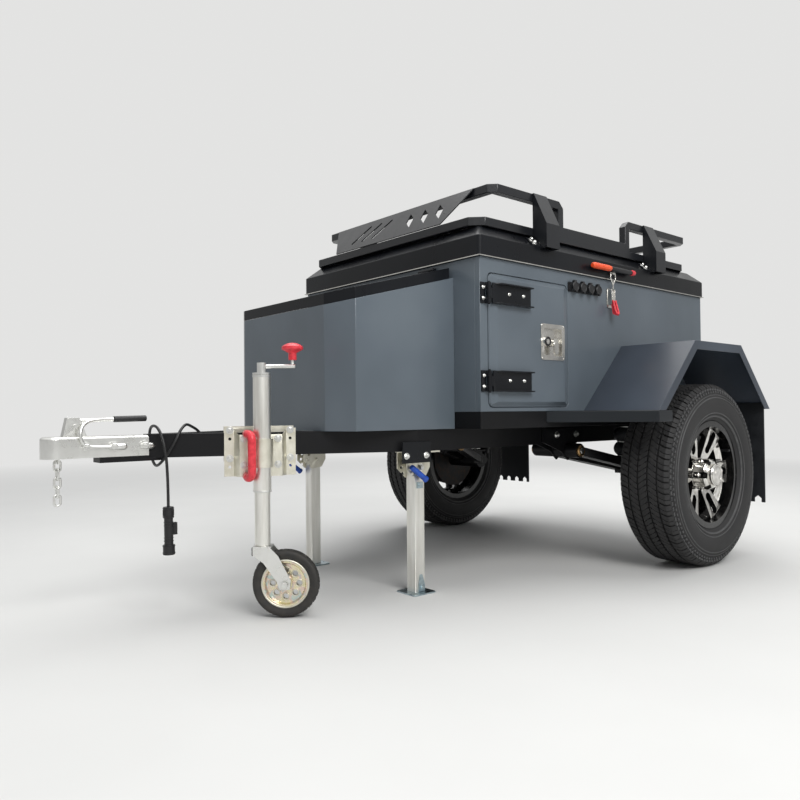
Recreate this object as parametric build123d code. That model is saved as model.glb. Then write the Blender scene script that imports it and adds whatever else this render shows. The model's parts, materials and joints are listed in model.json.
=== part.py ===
"""Off-road box camper trailer, parked: A-frame drawbar, two boxes, roof rack, jockey wheel and legs.

Millimetres, +Z up, ground at Z = 0, drawbar towards -X. The left side is -Y.
The origin is under the middle of the trailer's overall length and width.
"""
import os
from math import cos, hypot, pi, radians, sin, sqrt, tan

from build123d import *

# Overall stations: the nose and the tail are measured from the axle line
NOSE_REACH = 2349
TAIL_REACH = 520
AXLE_X = (NOSE_REACH - TAIL_REACH) / 2

# Clearances
SEAT_GAP = 0.3
DOOR_GAP = 3
PIN_GAP = 0.05

# Wheels, 245/70R16
TYRE_RADIUS = 374.5
TYRE_WIDTH = 240
TREAD_WIDTH = 196
WHEEL_Y = 735
BEAD_RADIUS = 204
RIM_FLANGE_RADIUS = 221
RIM_WIDTH = 190
RIM_WALL = 7
SPOKE_PAIRS = 6
SPOKE_FACE_Y = 62
SPOKE_DEPTH = 26
HUB_FACE_RADIUS = 66
HUB_BARREL_RADIUS = 64
HUB_BARREL_FACE = 100
HUB_CAP_RADIUS = 44
HUB_CAP_FACE = 118
STUD_COUNT = 6
STUD_CIRCLE = 60
FLUTE_RADIUS = 13
FLUTE_FLOOR = 48
NUT_RADIUS = 9
NUT_HEIGHT = 16
BRAKE_DRUM_RADIUS = 142
BRAKE_DRUM_WIDTH = 62
STUB_RADIUS = 32

# Drawbar and chassis
BEAM_WIDTH = 50
BEAM_HEIGHT = 75
BEAM_TOP = 581
DRAWBAR_HALF_ANGLE = 25
RAIL_Y = 370
DRAWBAR_APEX_REACH = 2025
APEX_CUT_REACH = 2040
RAIL_END = 440
CROSS_TUBE = 50
CROSS_FRONT_REACH = 1290
CROSS_MIDDLE_REACH = 1000
CROSS_REAR_REACH = 640
APEX_PLATE_REACH = 2190
APEX_PLATE_WIDTH = 62
APEX_PLATE = 8

# Main box body
BODY_FRONT_REACH = 1070
BODY_REAR = 495
BODY_HALF_WIDTH = 540
BODY_BOTTOM = 642
BODY_TOP = 1185.7
WALL = 25
FLOOR_THICKNESS = 12
CHASSIS_RAIL_WIDTH = 50

# Side doors
DOOR_FRONT_REACH = BODY_FRONT_REACH - 39
DOOR_LENGTH = 460
DOOR_REAR_REACH = DOOR_FRONT_REACH - DOOR_LENGTH
DOOR_BOTTOM = 656
DOOR_TOP = 1134
DOOR_PROUD = 12
DOOR_SIDE_BEVEL = 32
DOOR_EDGE_BEVEL = 14
DOOR_CORNER = 22
DOOR_PIN_REACH = DOOR_FRONT_REACH + 7
DOOR_PIN_OUT = 14
KNUCKLE_RADIUS = 8
PIN_RADIUS = 4
LEAF_THICKNESS = 5
LOWER_HINGE_Z = 749
UPPER_HINGE_Z = 1058
HINGE_HEIGHT = 74
STRAP_LENGTH = 224
STRAP_FLANGE = 16
LOCK_SETBACK = 277
LOCK_LENGTH = 144
LOCK_BOTTOM = 835
LOCK_TOP = 972
LOCK_BORDER = 14
LOCK_CORNER = 12
LOCK_DEPTH = 20
KEY_RADIUS = 18

# Tailgate
GATE_HALF_WIDTH = 452
GATE_BOTTOM = 672
GATE_TOP = 1150
GATE_PROUD = 8
GATE_PIN_OUT = 12
GATE_PIN_Z = 668
GATE_HINGE_Y = 300
GATE_HINGE_WIDTH = 80
GATE_STRAP_RISE = 70
GATE_HANDLE_HALF = 70
GATE_HANDLE_DROP = 70
PLATE_HALF = 160
PLATE_BOTTOM = 740
PLATE_TOP = 850

# Front box
NOSE_BOX_REACH = 1541
NOSE_BOX_FACE_HALF = 272
NOSE_CORNER_REACH = 1488
NOSE_CORNER_HALF = 376
NOSE_BOX_HALF = 412
NOSE_BOX_WALL = 15
NOSE_LID_SLOPE = 0.2606
NOSE_LID_FRONT_Z = 1005
NOSE_LID_THICKNESS = 38
NOSE_HINGE_Y = 280
NOSE_LID_REAR_REACH = BODY_FRONT_REACH + 20

# Main lid
LID_OVERHANG = 10
LID_FRONT_REACH = BODY_FRONT_REACH + LID_OVERHANG
LID_REAR = BODY_REAR + LID_OVERHANG
LID_HALF_WIDTH = BODY_HALF_WIDTH + LID_OVERHANG
LID_SKIRT_BOTTOM = 1186
LID_SKIRT_TOP = 1259
LID_TOP = 1306
LID_SHOULDER = 50
LID_WALL = 22
LID_PIN_OUT = 9
LID_HINGE_FRONT = 750
LID_HINGE_MIDDLE = 100
LID_HINGE_REAR = 300

# Roof rack
RACK_TUBE = 32
RACK_Y = LID_HALF_WIDTH - 50
RACK_FRONT_REACH = LID_FRONT_REACH - 25
RACK_REAR = LID_REAR - 94
RACK_RAIL_Z = LID_TOP + SEAT_GAP + RACK_TUBE / 2
RACK_TOP_Z = 1454
RACK_CORNER = 45
FRONT_HOOP_REACH = RACK_FRONT_REACH - 100
FRONT_POST_REACH = 572
REAR_POST_REACH = 100
REAR_HOOP_REACH = RACK_TUBE / 2 - RACK_REAR
STRUT_FRONT_REACH = 748
STRUT_REAR_REACH = -22
STRUT_WIDTH = 78
STRUT_OUT = LID_HALF_WIDTH + 32
STRUT_KNEE_Z = 1345
STRUT_FOOT_Z = 1255

# Fenders and steps
FENDER_OUT = 869
FENDER_BOTTOM_HALF = 471
FENDER_TOP_HALF = 196.5
FENDER_TOP = 915
FENDER_BOTTOM = 642
FENDER_SHEET = 4
FENDER_LIP = 35
STEP_FRONT_REACH = 711
STEP_DEPTH = 43
STEP_END = 95

# Mud flaps
FLAP_X = 430
FLAP_INNER_Y = 491
FLAP_OUTER_Y = 858
FLAP_BOTTOM = 224
FLAP_THICKNESS = 8
FLAP_NOTCHES = 6

# Coupler
COUPLER_TAIL_REACH = APEX_CUT_REACH + SEAT_GAP
BALL_BORE_RADIUS = 25.5
COUPLER_HEAD_RADIUS = 38
COUPLER_BOTTOM = 515
COUPLER_TOP = 579
COUPLER_HALF_WIDTH = 30
COUPLER_PIN_REACH = 2256
LEVER_GRIP_REACH = 2140
LEVER_GRIP_LENGTH = 102
CHAIN_REACH = 2290

# Jockey wheel
JOCKEY_X = 1756
JOCKEY_Y = 235
JOCKEY_TUBE_RADIUS = 28
JOCKEY_BORE_RADIUS = 24.6
JOCKEY_INNER_RADIUS = 24.5
JOCKEY_TUBE_TOP = 766
JOCKEY_TUBE_BOTTOM = 394
JOCKEY_INNER_BOTTOM = 226
JOCKEY_TRAVEL = 150
JOCKEY_CAP_DEPTH = 12
JOCKEY_INNER_TOP = JOCKEY_TUBE_TOP - JOCKEY_CAP_DEPTH - JOCKEY_TRAVEL - 6
JOCKEY_WHEEL_RADIUS = 107
JOCKEY_WHEEL_WIDTH = 46
JOCKEY_RIM_RADIUS = 76
JOCKEY_TRAIL = 74
JOCKEY_HEADING = -40.5
JOCKEY_AXLE_RADIUS = 8
HAT_DEPTH = 35
HAT_SHEET = 5
HAT_FOOT = 115
HAT_RIB = 80
HAT_BOLT_INSET = 18
HAT_BOLT_RADIUS = 5
HAT_BOLT_CLEAR = 8
HAT_HOLE_DROP = 28
HANDLE_RADIUS = 13
CRANK_REACH = 98
CRANK_Z = 792
KNOB_Z = 844

# Stabiliser legs
LEG_REACH = 1190
LEG_Y = 328
LEG_TUBE = 45
LEG_PIVOT_Z = 446
LEG_FOOT = 104
LEG_FOOT_THICKNESS = 5
LEG_PLATE_FRONT_REACH = 1309
LEG_PLATE_REAR_REACH = 1179
LEG_PLATE_BOTTOM = 467
LEG_PLATE_TOP = 540

# Suspension
ARM_PIVOT_REACH = 392
ARM_BUSH_RADIUS = 30
ARM_INNER_Y = 235
ARM_LEG_WIDTH = 36
PIVOT_PLATE = 8
MOUNT_FRONT_REACH = 561
MOUNT_REAR_REACH = 327
SPRING_AHEAD = 60
SPRING_Y = 480
BELLOWS_RADIUS = 62
SPRING_PLATE = 8
SPRING_TRAY_TOP = TYRE_RADIUS + 60
SHOCK_Y = 505
SHOCK_EYE = 18
SHOCK_LEAN = 60
SHOCK_RADIUS = 24
CARRIER_RADIUS = STUB_RADIUS + 6
HUB_FACE_Y = WHEEL_Y + SPOKE_FACE_Y - SPOKE_DEPTH - 22 - SEAT_GAP
HUB_INNER_Y = HUB_FACE_Y - BRAKE_DRUM_WIDTH - 8

# Fittings
CABLE_DIAMETER = 9
GLAND_LENGTH = 16
TAIL_LAMP_DEPTH = TAIL_REACH - BODY_REAR
LAMP_HALF = 28
LAMP_BOTTOM = 700
LAMP_TOP = 860
SOCKET_COUNT = 4
SOCKET_PITCH = 52
SOCKET_Z = 1131
SOCKET_STRIP_HALF = 19
LATCH_REACH = 287
GRIP_FRONT_REACH = 460
GRIP_REAR_REACH = 132
GRIP_RADIUS = 20


def at_x(reach_ahead):
    """X of a station given as its distance ahead of the axle line."""
    return AXLE_X - reach_ahead


def block(x0, x1, y0, y1, z0, z1):
    """A box between two corners."""
    return Pos((x0 + x1) / 2, (y0 + y1) / 2, (z0 + z1) / 2) * Box(x1 - x0, y1 - y0, z1 - z0)


def rod(start, end, radius):
    """A round bar between two points."""
    axis = Vector(*end) - Vector(*start)
    place = Plane(origin=start, z_dir=axis)
    return place * Cylinder(radius, axis.length, align=(Align.CENTER, Align.CENTER, Align.MIN))


def prism(points, direction):
    """A solid swept from a flat outline of 3-D points along a direction."""
    face = Face(Wire.make_polygon([Vector(*p) for p in points], close=True))
    path = Vector(*direction)
    return extrude(face, amount=path.length, dir=path.normalized())


def plan_prism(points, z0, z1):
    """A solid with an outline drawn from above."""
    return prism([(x, y, z0) for x, y in points], (0, 0, z1 - z0))


def side_prism(points, y0, y1):
    """A solid with an outline drawn from the side, as X and Z."""
    return prism([(x, y0, z) for x, z in points], (0, y1 - y0, 0))


def end_prism(points, x0, x1):
    """A solid with an outline drawn from the front, as Y and Z."""
    return prism([(x0, y, z) for y, z in points], (x1 - x0, 0, 0))


def other_side(shape):
    """The same piece on the right-hand side."""
    return mirror(shape, Plane.XZ)


# Wheels
def wheel_place(side):
    """Wheel centre with local +Z pointing out of the trailer."""
    return Plane(origin=(AXLE_X, side * WHEEL_Y, TYRE_RADIUS), z_dir=(0, side, 0), x_dir=(1, 0, 0))


def tyre(side):
    half = TYRE_WIDTH / 2
    tread = TREAD_WIDTH / 2
    shoulder = TYRE_RADIUS - 16
    belly = (TYRE_RADIUS + BEAD_RADIUS) / 2 + 8
    bead = RIM_WIDTH / 2 - RIM_WALL - SEAT_GAP
    with BuildPart() as ring:
        with BuildSketch(Plane.XZ):
            with BuildLine():
                Line((BEAD_RADIUS, -bead), (BEAD_RADIUS, bead))
                Line((BEAD_RADIUS, bead), (RIM_FLANGE_RADIUS + 2, bead))
                ThreePointArc((RIM_FLANGE_RADIUS + 2, bead), (belly, half), (shoulder, tread + 6))
                Line((shoulder, tread + 6), (TYRE_RADIUS - 3, tread - 8))
                ThreePointArc((TYRE_RADIUS - 3, tread - 8), (TYRE_RADIUS, 0), (TYRE_RADIUS - 3, 8 - tread))
                Line((TYRE_RADIUS - 3, 8 - tread), (shoulder, -tread - 6))
                ThreePointArc((shoulder, -tread - 6), (belly, -half), (RIM_FLANGE_RADIUS + 2, -bead))
                Line((RIM_FLANGE_RADIUS + 2, -bead), (BEAD_RADIUS, -bead))
            make_face()
        revolve(axis=Axis.Z)
    return wheel_place(side) * ring.part


def rim(side):
    half = RIM_WIDTH / 2
    inner = BEAD_RADIUS - SEAT_GAP - RIM_WALL
    outer = BEAD_RADIUS - SEAT_GAP
    drop = 22
    with BuildPart() as barrel:
        with BuildSketch(Plane.XZ):
            Polygon(
                (RIM_FLANGE_RADIUS, -half), (RIM_FLANGE_RADIUS, RIM_WALL - half - SEAT_GAP),
                (outer, RIM_WALL - half - SEAT_GAP), (outer, -30), (outer - drop, -18), (outer - drop, 24),
                (outer, 40), (outer, half - RIM_WALL + SEAT_GAP), (RIM_FLANGE_RADIUS, half - RIM_WALL + SEAT_GAP),
                (RIM_FLANGE_RADIUS, half), (inner, half), (inner, 46), (inner - drop, 30), (inner - drop, -24),
                (inner, -36), (inner, -half), align=None)
        revolve(axis=Axis.Z)
    # Six pairs of spokes: a wedge with a rounded window in it, dished like a shallow bowl
    spoke_reach = inner + 3
    half_foot = 20
    half_tip = 50
    with BuildPart() as face:
        with BuildSketch(Plane.XY):
            Circle(HUB_FACE_RADIUS)
            with PolarLocations(0, SPOKE_PAIRS):
                Polygon((HUB_FACE_RADIUS - 14, -half_foot), (spoke_reach, -half_tip),
                        (spoke_reach, half_tip), (HUB_FACE_RADIUS - 14, half_foot), align=None)
            with PolarLocations((HUB_FACE_RADIUS + spoke_reach) / 2 + 14, SPOKE_PAIRS):
                SlotOverall(98, 34, mode=Mode.SUBTRACT)
        extrude(amount=RIM_WIDTH / 2 - RIM_WALL)
    with BuildPart() as dish:
        with BuildSketch(Plane.XZ):
            Polygon((0, SPOKE_FACE_Y - SPOKE_DEPTH - 22), (HUB_FACE_RADIUS, SPOKE_FACE_Y - SPOKE_DEPTH - 20),
                    (spoke_reach, SPOKE_FACE_Y - SPOKE_DEPTH), (spoke_reach, SPOKE_FACE_Y),
                    (HUB_FACE_RADIUS + 12, SPOKE_FACE_Y - 20), (0, SPOKE_FACE_Y - 26), align=None)
        revolve(axis=Axis.Z)
    spokes = face.part & dish.part
    # The hub barrel stands out of the dish, fluted for the six nuts, with a cap on its end
    with BuildPart() as hub_barrel:
        with BuildSketch(Plane.XZ):
            Polygon((0, SPOKE_FACE_Y - 30), (HUB_BARREL_RADIUS, SPOKE_FACE_Y - 30),
                    (HUB_BARREL_RADIUS, HUB_BARREL_FACE - 10), (HUB_BARREL_RADIUS - 10, HUB_BARREL_FACE),
                    (HUB_CAP_RADIUS, HUB_BARREL_FACE), (HUB_CAP_RADIUS, HUB_CAP_FACE - 6),
                    (HUB_CAP_RADIUS - 6, HUB_CAP_FACE), (0, HUB_CAP_FACE), align=None)
        revolve(axis=Axis.Z)
    stations = PolarLocations(STUD_CIRCLE, STUD_COUNT)
    flutes = Sketch() + [place * Circle(FLUTE_RADIUS) for place in stations]
    nuts = Sketch() + [place * Circle(NUT_RADIUS) for place in PolarLocations(STUD_CIRCLE, STUD_COUNT)]
    centre = hub_barrel.part - extrude(Pos(0, 0, FLUTE_FLOOR) * flutes, amount=HUB_CAP_FACE)
    centre += extrude(Pos(0, 0, FLUTE_FLOOR - 1) * nuts, amount=NUT_HEIGHT)
    return wheel_place(side) * (barrel.part + spokes + centre)


def hub(side):
    """Brake drum and its backing plate, fixed to the trailing arm."""
    face = SPOKE_FACE_Y - SPOKE_DEPTH - 22 - SEAT_GAP
    place = wheel_place(side)
    drum = Pos(0, 0, face - BRAKE_DRUM_WIDTH / 2) * Cylinder(BRAKE_DRUM_RADIUS, BRAKE_DRUM_WIDTH)
    drum = chamfer(drum.edges().sort_by(Axis.Z)[-1:], 8)
    plate = Pos(0, 0, face - BRAKE_DRUM_WIDTH - 4) * Cylinder(BRAKE_DRUM_RADIUS + 8, 8)
    return place * (drum + plate)


# Drawbar and chassis
def drawbar_half():
    """One A-frame beam and its rail under the body, mitred at the bend."""
    angle = radians(DRAWBAR_HALF_ANGLE)
    bend_x = at_x(DRAWBAR_APEX_REACH) + RAIL_Y / tan(angle)
    half = BEAM_WIDTH / 2
    mitre = half * tan(angle / 2)
    across = half / cos(angle)
    cut_x = at_x(APEX_CUT_REACH)
    outer_y = -across - (cut_x - at_x(DRAWBAR_APEX_REACH)) * tan(angle)
    inner_x = at_x(DRAWBAR_APEX_REACH) + across / tan(angle)
    outline = [(cut_x, 0), (cut_x, outer_y), (bend_x - mitre, -RAIL_Y - half), (at_x(-RAIL_END), -RAIL_Y - half),
               (at_x(-RAIL_END), half - RAIL_Y), (bend_x + mitre, half - RAIL_Y), (inner_x, 0)]
    return plan_prism(outline, BEAM_TOP - BEAM_HEIGHT, BEAM_TOP)


def drawbar_frame():
    beam = drawbar_half()
    frame = beam + other_side(beam)
    low = BEAM_TOP - BEAM_HEIGHT
    inner = RAIL_Y - BEAM_WIDTH / 2
    for reach in (CROSS_FRONT_REACH, CROSS_MIDDLE_REACH, CROSS_REAR_REACH, CROSS_TUBE - RAIL_END):
        x = at_x(reach)
        half = inner + 0.5
        if reach == CROSS_FRONT_REACH:
            half = RAIL_Y - 60
        frame += block(x, x + CROSS_TUBE, -half, half, low + 12, BEAM_TOP)
    half = APEX_PLATE_WIDTH / 2
    frame += block(at_x(APEX_PLATE_REACH), at_x(APEX_CUT_REACH - 55), -half, half, low - APEX_PLATE, low)
    frame += block(at_x(APEX_PLATE_REACH), at_x(APEX_CUT_REACH) + 1, -half, half, low - APEX_PLATE,
                   COUPLER_BOTTOM - SEAT_GAP)
    return frame


def chassis_rails():
    """The perimeter frame on the rails, which carries the box floor."""
    x0 = at_x(BODY_FRONT_REACH)
    x1 = at_x(-BODY_REAR)
    low = BEAM_TOP
    high = BODY_BOTTOM
    wide = BODY_HALF_WIDTH
    tube = CHASSIS_RAIL_WIDTH
    frame = block(x0, x1, -wide, wide, low, high) - block(x0 + tube, x1 - tube, tube - wide, wide - tube, low, high)
    bearers = 4
    for number in range(1, bearers):
        x = x0 + (x1 - x0) * number / bearers
        frame += block(x - tube / 2, x + tube / 2, tube - wide - 0.5, wide - tube + 0.5, low, high)
    return frame


# Main box
def body_side_left():
    x0 = at_x(BODY_FRONT_REACH)
    x1 = at_x(-BODY_REAR)
    wall = block(x0, x1, -BODY_HALF_WIDTH, WALL - BODY_HALF_WIDTH, BODY_BOTTOM, BODY_TOP)
    opening = door_outline(0)
    return wall - opening


def door_outline(shrink):
    """The door's space in the wall, made smaller all round by shrink."""
    x0 = at_x(DOOR_FRONT_REACH) + shrink
    x1 = at_x(DOOR_REAR_REACH) - shrink
    z0 = DOOR_BOTTOM + shrink
    z1 = DOOR_TOP - shrink
    space = block(x0, x1, -BODY_HALF_WIDTH, WALL - BODY_HALF_WIDTH, z0, z1)
    return fillet(space.edges().filter_by(Axis.Y), DOOR_CORNER)


def body_front_wall():
    x0 = at_x(BODY_FRONT_REACH)
    half = BODY_HALF_WIDTH - WALL
    return block(x0, x0 + WALL, -half, half, BODY_BOTTOM, BODY_TOP)


def body_rear_frame():
    x1 = at_x(-BODY_REAR)
    half = BODY_HALF_WIDTH - WALL
    wall = block(x1 - WALL, x1, -half, half, BODY_BOTTOM, BODY_TOP)
    opening = block(x1 - WALL, x1, -GATE_HALF_WIDTH, GATE_HALF_WIDTH, GATE_BOTTOM, GATE_TOP)
    return wall - fillet(opening.edges().filter_by(Axis.X), DOOR_CORNER)


def body_floor():
    x0 = at_x(BODY_FRONT_REACH) + WALL
    x1 = at_x(-BODY_REAR) - WALL
    half = BODY_HALF_WIDTH - WALL
    return block(x0, x1, -half, half, BODY_BOTTOM, BODY_BOTTOM + FLOOR_THICKNESS)


# Side doors, modelled on the left
def door_panel():
    panel = door_outline(DOOR_GAP)
    outer = -BODY_HALF_WIDTH
    x0 = at_x(DOOR_FRONT_REACH) + DOOR_GAP
    x1 = at_x(DOOR_REAR_REACH) - DOOR_GAP
    z0 = DOOR_BOTTOM + DOOR_GAP
    z1 = DOOR_TOP - DOOR_GAP
    edge = 4
    pressed = block(x0 + edge, x1 - edge, outer - DOOR_PROUD, outer, z0 + edge, z1 - edge)
    pressed = fillet(pressed.edges().filter_by(Axis.Y), DOOR_CORNER - edge)
    # The bevels are wide at the front and rear and narrow above and below
    face = outer - DOOR_PROUD
    base = outer - 1
    pressed &= plan_prism([(x0 + edge, outer), (x0 + edge, base), (x0 + edge + DOOR_SIDE_BEVEL, face),
                           (x1 - edge - DOOR_SIDE_BEVEL, face), (x1 - edge, base), (x1 - edge, outer)], z0, z1)
    pressed &= end_prism([(outer, z0 + edge), (base, z0 + edge), (face, z0 + edge + DOOR_EDGE_BEVEL),
                          (face, z1 - edge - DOOR_EDGE_BEVEL), (base, z1 - edge), (outer, z1 - edge)], x0, x1)
    return panel + pressed - lock_recess()


def lock_ends():
    """X of the lock's front and rear edges, set back from the door's front edge."""
    x0 = at_x(DOOR_FRONT_REACH) + LOCK_SETBACK
    return x0, x0 + LOCK_LENGTH


def lock_recess():
    x0, x1 = lock_ends()
    outer = -BODY_HALF_WIDTH - DOOR_PROUD
    return block(x0 + LOCK_BORDER, x1 - LOCK_BORDER, outer, outer + LOCK_DEPTH + SEAT_GAP, LOCK_BOTTOM + LOCK_BORDER,
                 LOCK_TOP - LOCK_BORDER)


def door_lock():
    """A stainless dish with a folding T handle and a round key lock beside it."""
    outer = -BODY_HALF_WIDTH - DOOR_PROUD
    x0, x1 = lock_ends()
    wall = 3
    border = LOCK_BORDER
    flange = block(x0, x1, outer - wall, outer, LOCK_BOTTOM, LOCK_TOP)
    flange = fillet(flange.edges().filter_by(Axis.Y), LOCK_CORNER)
    dish = block(x0 + border, x1 - border, outer, outer + LOCK_DEPTH, LOCK_BOTTOM + border, LOCK_TOP - border)
    inset = border + wall
    hollow = block(x0 + inset, x1 - inset, outer - wall, outer + LOCK_DEPTH - wall, LOCK_BOTTOM + inset,
                   LOCK_TOP - inset)
    key_x = x0 + KEY_RADIUS + 6
    middle_x = (x0 + x1) / 2 + 14
    middle_z = (LOCK_BOTTOM + LOCK_TOP) / 2
    boss = rod((middle_x, outer + LOCK_DEPTH - 1, middle_z), (middle_x, outer - 4, middle_z), 15)
    paddle = block(middle_x - 13, middle_x + 13, outer - 8, outer - 3, LOCK_BOTTOM + inset + 6, middle_z)
    paddle = fillet(paddle.edges().filter_by(Axis.Y), 10)
    key = rod((key_x, outer, middle_z), (key_x, outer - 14, middle_z), KEY_RADIUS)
    key += rod((key_x + 8, outer + LOCK_DEPTH - 1, middle_z), (key_x + 8, outer, middle_z), KEY_RADIUS - 9)
    return flange + dish - hollow + boss + paddle + key


# Bottom and top of each strap hinge
HINGES = ((LOWER_HINGE_Z - HINGE_HEIGHT / 2, LOWER_HINGE_Z + HINGE_HEIGHT / 2),
          (UPPER_HINGE_Z - HINGE_HEIGHT / 2, UPPER_HINGE_Z + HINGE_HEIGHT / 2))


def hinge_fixed():
    """The body leaves, outer knuckles and pins of the two strap hinges."""
    leaves = []
    pin_x = at_x(DOOR_PIN_REACH)
    pin_y = -BODY_HALF_WIDTH - DOOR_PIN_OUT
    for low, high in HINGES:
        share = (high - low) / 4
        leaf = block(at_x(BODY_FRONT_REACH) + 1, pin_x - KNUCKLE_RADIUS - 1, -BODY_HALF_WIDTH - LEAF_THICKNESS,
                     -BODY_HALF_WIDTH, low, high)
        for z0, z1 in ((low, low + share), (high - share, high)):
            knuckle = rod((pin_x, pin_y, z0), (pin_x, pin_y, z1), KNUCKLE_RADIUS)
            web = block(pin_x - KNUCKLE_RADIUS - 2, pin_x, pin_y + 2, -BODY_HALF_WIDTH, z0, z1)
            leaf += knuckle + web
        leaf += rod((pin_x, pin_y, low - 4), (pin_x, pin_y, high + 4), PIN_RADIUS)
        leaves.append(leaf)
    return leaves


def door_straps():
    """The door leaves, a channel with its flanges outward, and the middle knuckle bored for the pin."""
    leaves = []
    pin_x = at_x(DOOR_PIN_REACH)
    pin_y = -BODY_HALF_WIDTH - DOOR_PIN_OUT
    face = -BODY_HALF_WIDTH - DOOR_PROUD
    front = face - LEAF_THICKNESS
    tip = pin_x + STRAP_LENGTH
    for low, high in HINGES:
        share = (high - low) / 4
        z0 = low + share + SEAT_GAP
        z1 = high - share - SEAT_GAP
        start = at_x(DOOR_FRONT_REACH) + DOOR_GAP + 6
        outline = [(pin_x, z0), (start, z0), (start, low), (tip, low), (tip, high), (start, high), (start, z1),
                   (pin_x, z1)]
        leaf = side_prism(outline, face, front)
        for z2, z3 in ((low, low + LEAF_THICKNESS), (high - LEAF_THICKNESS, high)):
            flange = [(start + STRAP_FLANGE, front), (start + 2 * STRAP_FLANGE, front - STRAP_FLANGE),
                      (tip, front - STRAP_FLANGE), (tip, front + 1), (start + STRAP_FLANGE, front + 1)]
            leaf += plan_prism(flange, z2, z3)
        leaf += rod((pin_x, pin_y, z0), (pin_x, pin_y, z1), KNUCKLE_RADIUS)
        leaf -= rod((pin_x, pin_y, z0 - 1), (pin_x, pin_y, z1 + 1), PIN_RADIUS + PIN_GAP)
        leaves.append(leaf)
    return leaves


# Tailgate
def tailgate_panel():
    x1 = at_x(-BODY_REAR)
    y0 = DOOR_GAP - GATE_HALF_WIDTH
    z0 = GATE_BOTTOM + DOOR_GAP
    z1 = GATE_TOP - DOOR_GAP
    panel = block(x1 - WALL, x1, y0, -y0, z0, z1)
    panel = fillet(panel.edges().filter_by(Axis.X), DOOR_CORNER)
    pressed = block(x1, x1 + GATE_PROUD, y0 + 4, -y0 - 4, z0 + 4, z1 - 4)
    pressed = fillet(pressed.edges().filter_by(Axis.X), DOOR_CORNER - 4)
    pressed = chamfer(pressed.faces().sort_by(Axis.X)[-1].edges(), GATE_PROUD - 2)
    return panel + pressed


# Middle of each tailgate hinge across the trailer
GATE_HINGES = (-GATE_HINGE_Y, 0, GATE_HINGE_Y)


def gate_pin_place():
    return at_x(-BODY_REAR) + GATE_PIN_OUT, GATE_PIN_Z


def gate_hinge_fixed():
    leaves = []
    pin_x, pin_z = gate_pin_place()
    x1 = at_x(-BODY_REAR)
    share = GATE_HINGE_WIDTH / 4
    for middle in GATE_HINGES:
        low = middle - GATE_HINGE_WIDTH / 2
        high = middle + GATE_HINGE_WIDTH / 2
        leaf = block(x1, x1 + LEAF_THICKNESS, low, high, BODY_BOTTOM, pin_z - KNUCKLE_RADIUS - 1)
        for y0, y1 in ((low, low + share), (high - share, high)):
            leaf += rod((pin_x, y0, pin_z), (pin_x, y1, pin_z), KNUCKLE_RADIUS)
            leaf += block(x1, pin_x, y0, y1, pin_z - KNUCKLE_RADIUS - 2, pin_z)
        leaf += rod((pin_x, low - 4, pin_z), (pin_x, high + 4, pin_z), PIN_RADIUS)
        leaves.append(leaf)
    return leaves


def gate_straps():
    leaves = []
    pin_x, pin_z = gate_pin_place()
    face = at_x(-BODY_REAR) + GATE_PROUD
    share = GATE_HINGE_WIDTH / 4
    for middle in GATE_HINGES:
        y0 = middle - GATE_HINGE_WIDTH / 2 + share + SEAT_GAP
        y1 = middle + GATE_HINGE_WIDTH / 2 - share - SEAT_GAP
        leaf = block(face, face + LEAF_THICKNESS, y0, y1, pin_z, GATE_BOTTOM + GATE_STRAP_RISE)
        leaf += rod((pin_x, y0, pin_z), (pin_x, y1, pin_z), KNUCKLE_RADIUS)
        leaf -= rod((pin_x, y0 - 1, pin_z), (pin_x, y1 + 1, pin_z), PIN_RADIUS + PIN_GAP)
        leaves.append(leaf)
    return leaves


def tailgate_handle():
    face = at_x(-BODY_REAR) + GATE_PROUD
    z = GATE_TOP - GATE_HANDLE_DROP
    half = GATE_HANDLE_HALF
    plate = fillet(block(face, face + 3, -half, half, z - 50, z + 50).edges().filter_by(Axis.X), 12)
    grip_half = half - 26
    paddle = fillet(block(face + 3, face + 10, -grip_half, grip_half, z - 16, z + 16).edges().filter_by(Axis.X), 10)
    return plate + paddle


# Front box
def nose_lid_z(x):
    """Height of the front lid's lower face above a station."""
    return NOSE_LID_FRONT_Z + NOSE_LID_SLOPE * (x - at_x(NOSE_BOX_REACH))


def nose_plan(inset, rear):
    """Outline of the front box from above, moved in by inset."""
    face = [(at_x(NOSE_BOX_REACH), -NOSE_BOX_FACE_HALF), (at_x(NOSE_CORNER_REACH), -NOSE_CORNER_HALF),
            (at_x(BODY_FRONT_REACH), -NOSE_BOX_HALF), (at_x(BODY_FRONT_REACH), NOSE_BOX_HALF),
            (at_x(NOSE_CORNER_REACH), NOSE_CORNER_HALF), (at_x(NOSE_BOX_REACH), NOSE_BOX_FACE_HALF)]
    plan = make_face(Polyline(*face, close=True))
    if inset:
        plan = offset(plan, amount=-inset, kind=Kind.INTERSECTION)
    keep = Rectangle(rear - face[0][0], 2 * NOSE_BOX_HALF, align=(Align.MIN, Align.CENTER))
    return plan & Pos(face[0][0], 0) * keep


def slope_cut(lift0, lift1):
    """The slab between two heights above the front box's sloping top."""
    x0 = at_x(NOSE_BOX_REACH) - 50
    x1 = at_x(BODY_FRONT_REACH)
    half = NOSE_BOX_HALF + 50
    outline = [(x0, nose_lid_z(x0) + lift0), (x1, nose_lid_z(x1) + lift0),
               (x1, nose_lid_z(x1) + lift1), (x0, nose_lid_z(x0) + lift1)]
    return side_prism(outline, -half, half)


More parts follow.
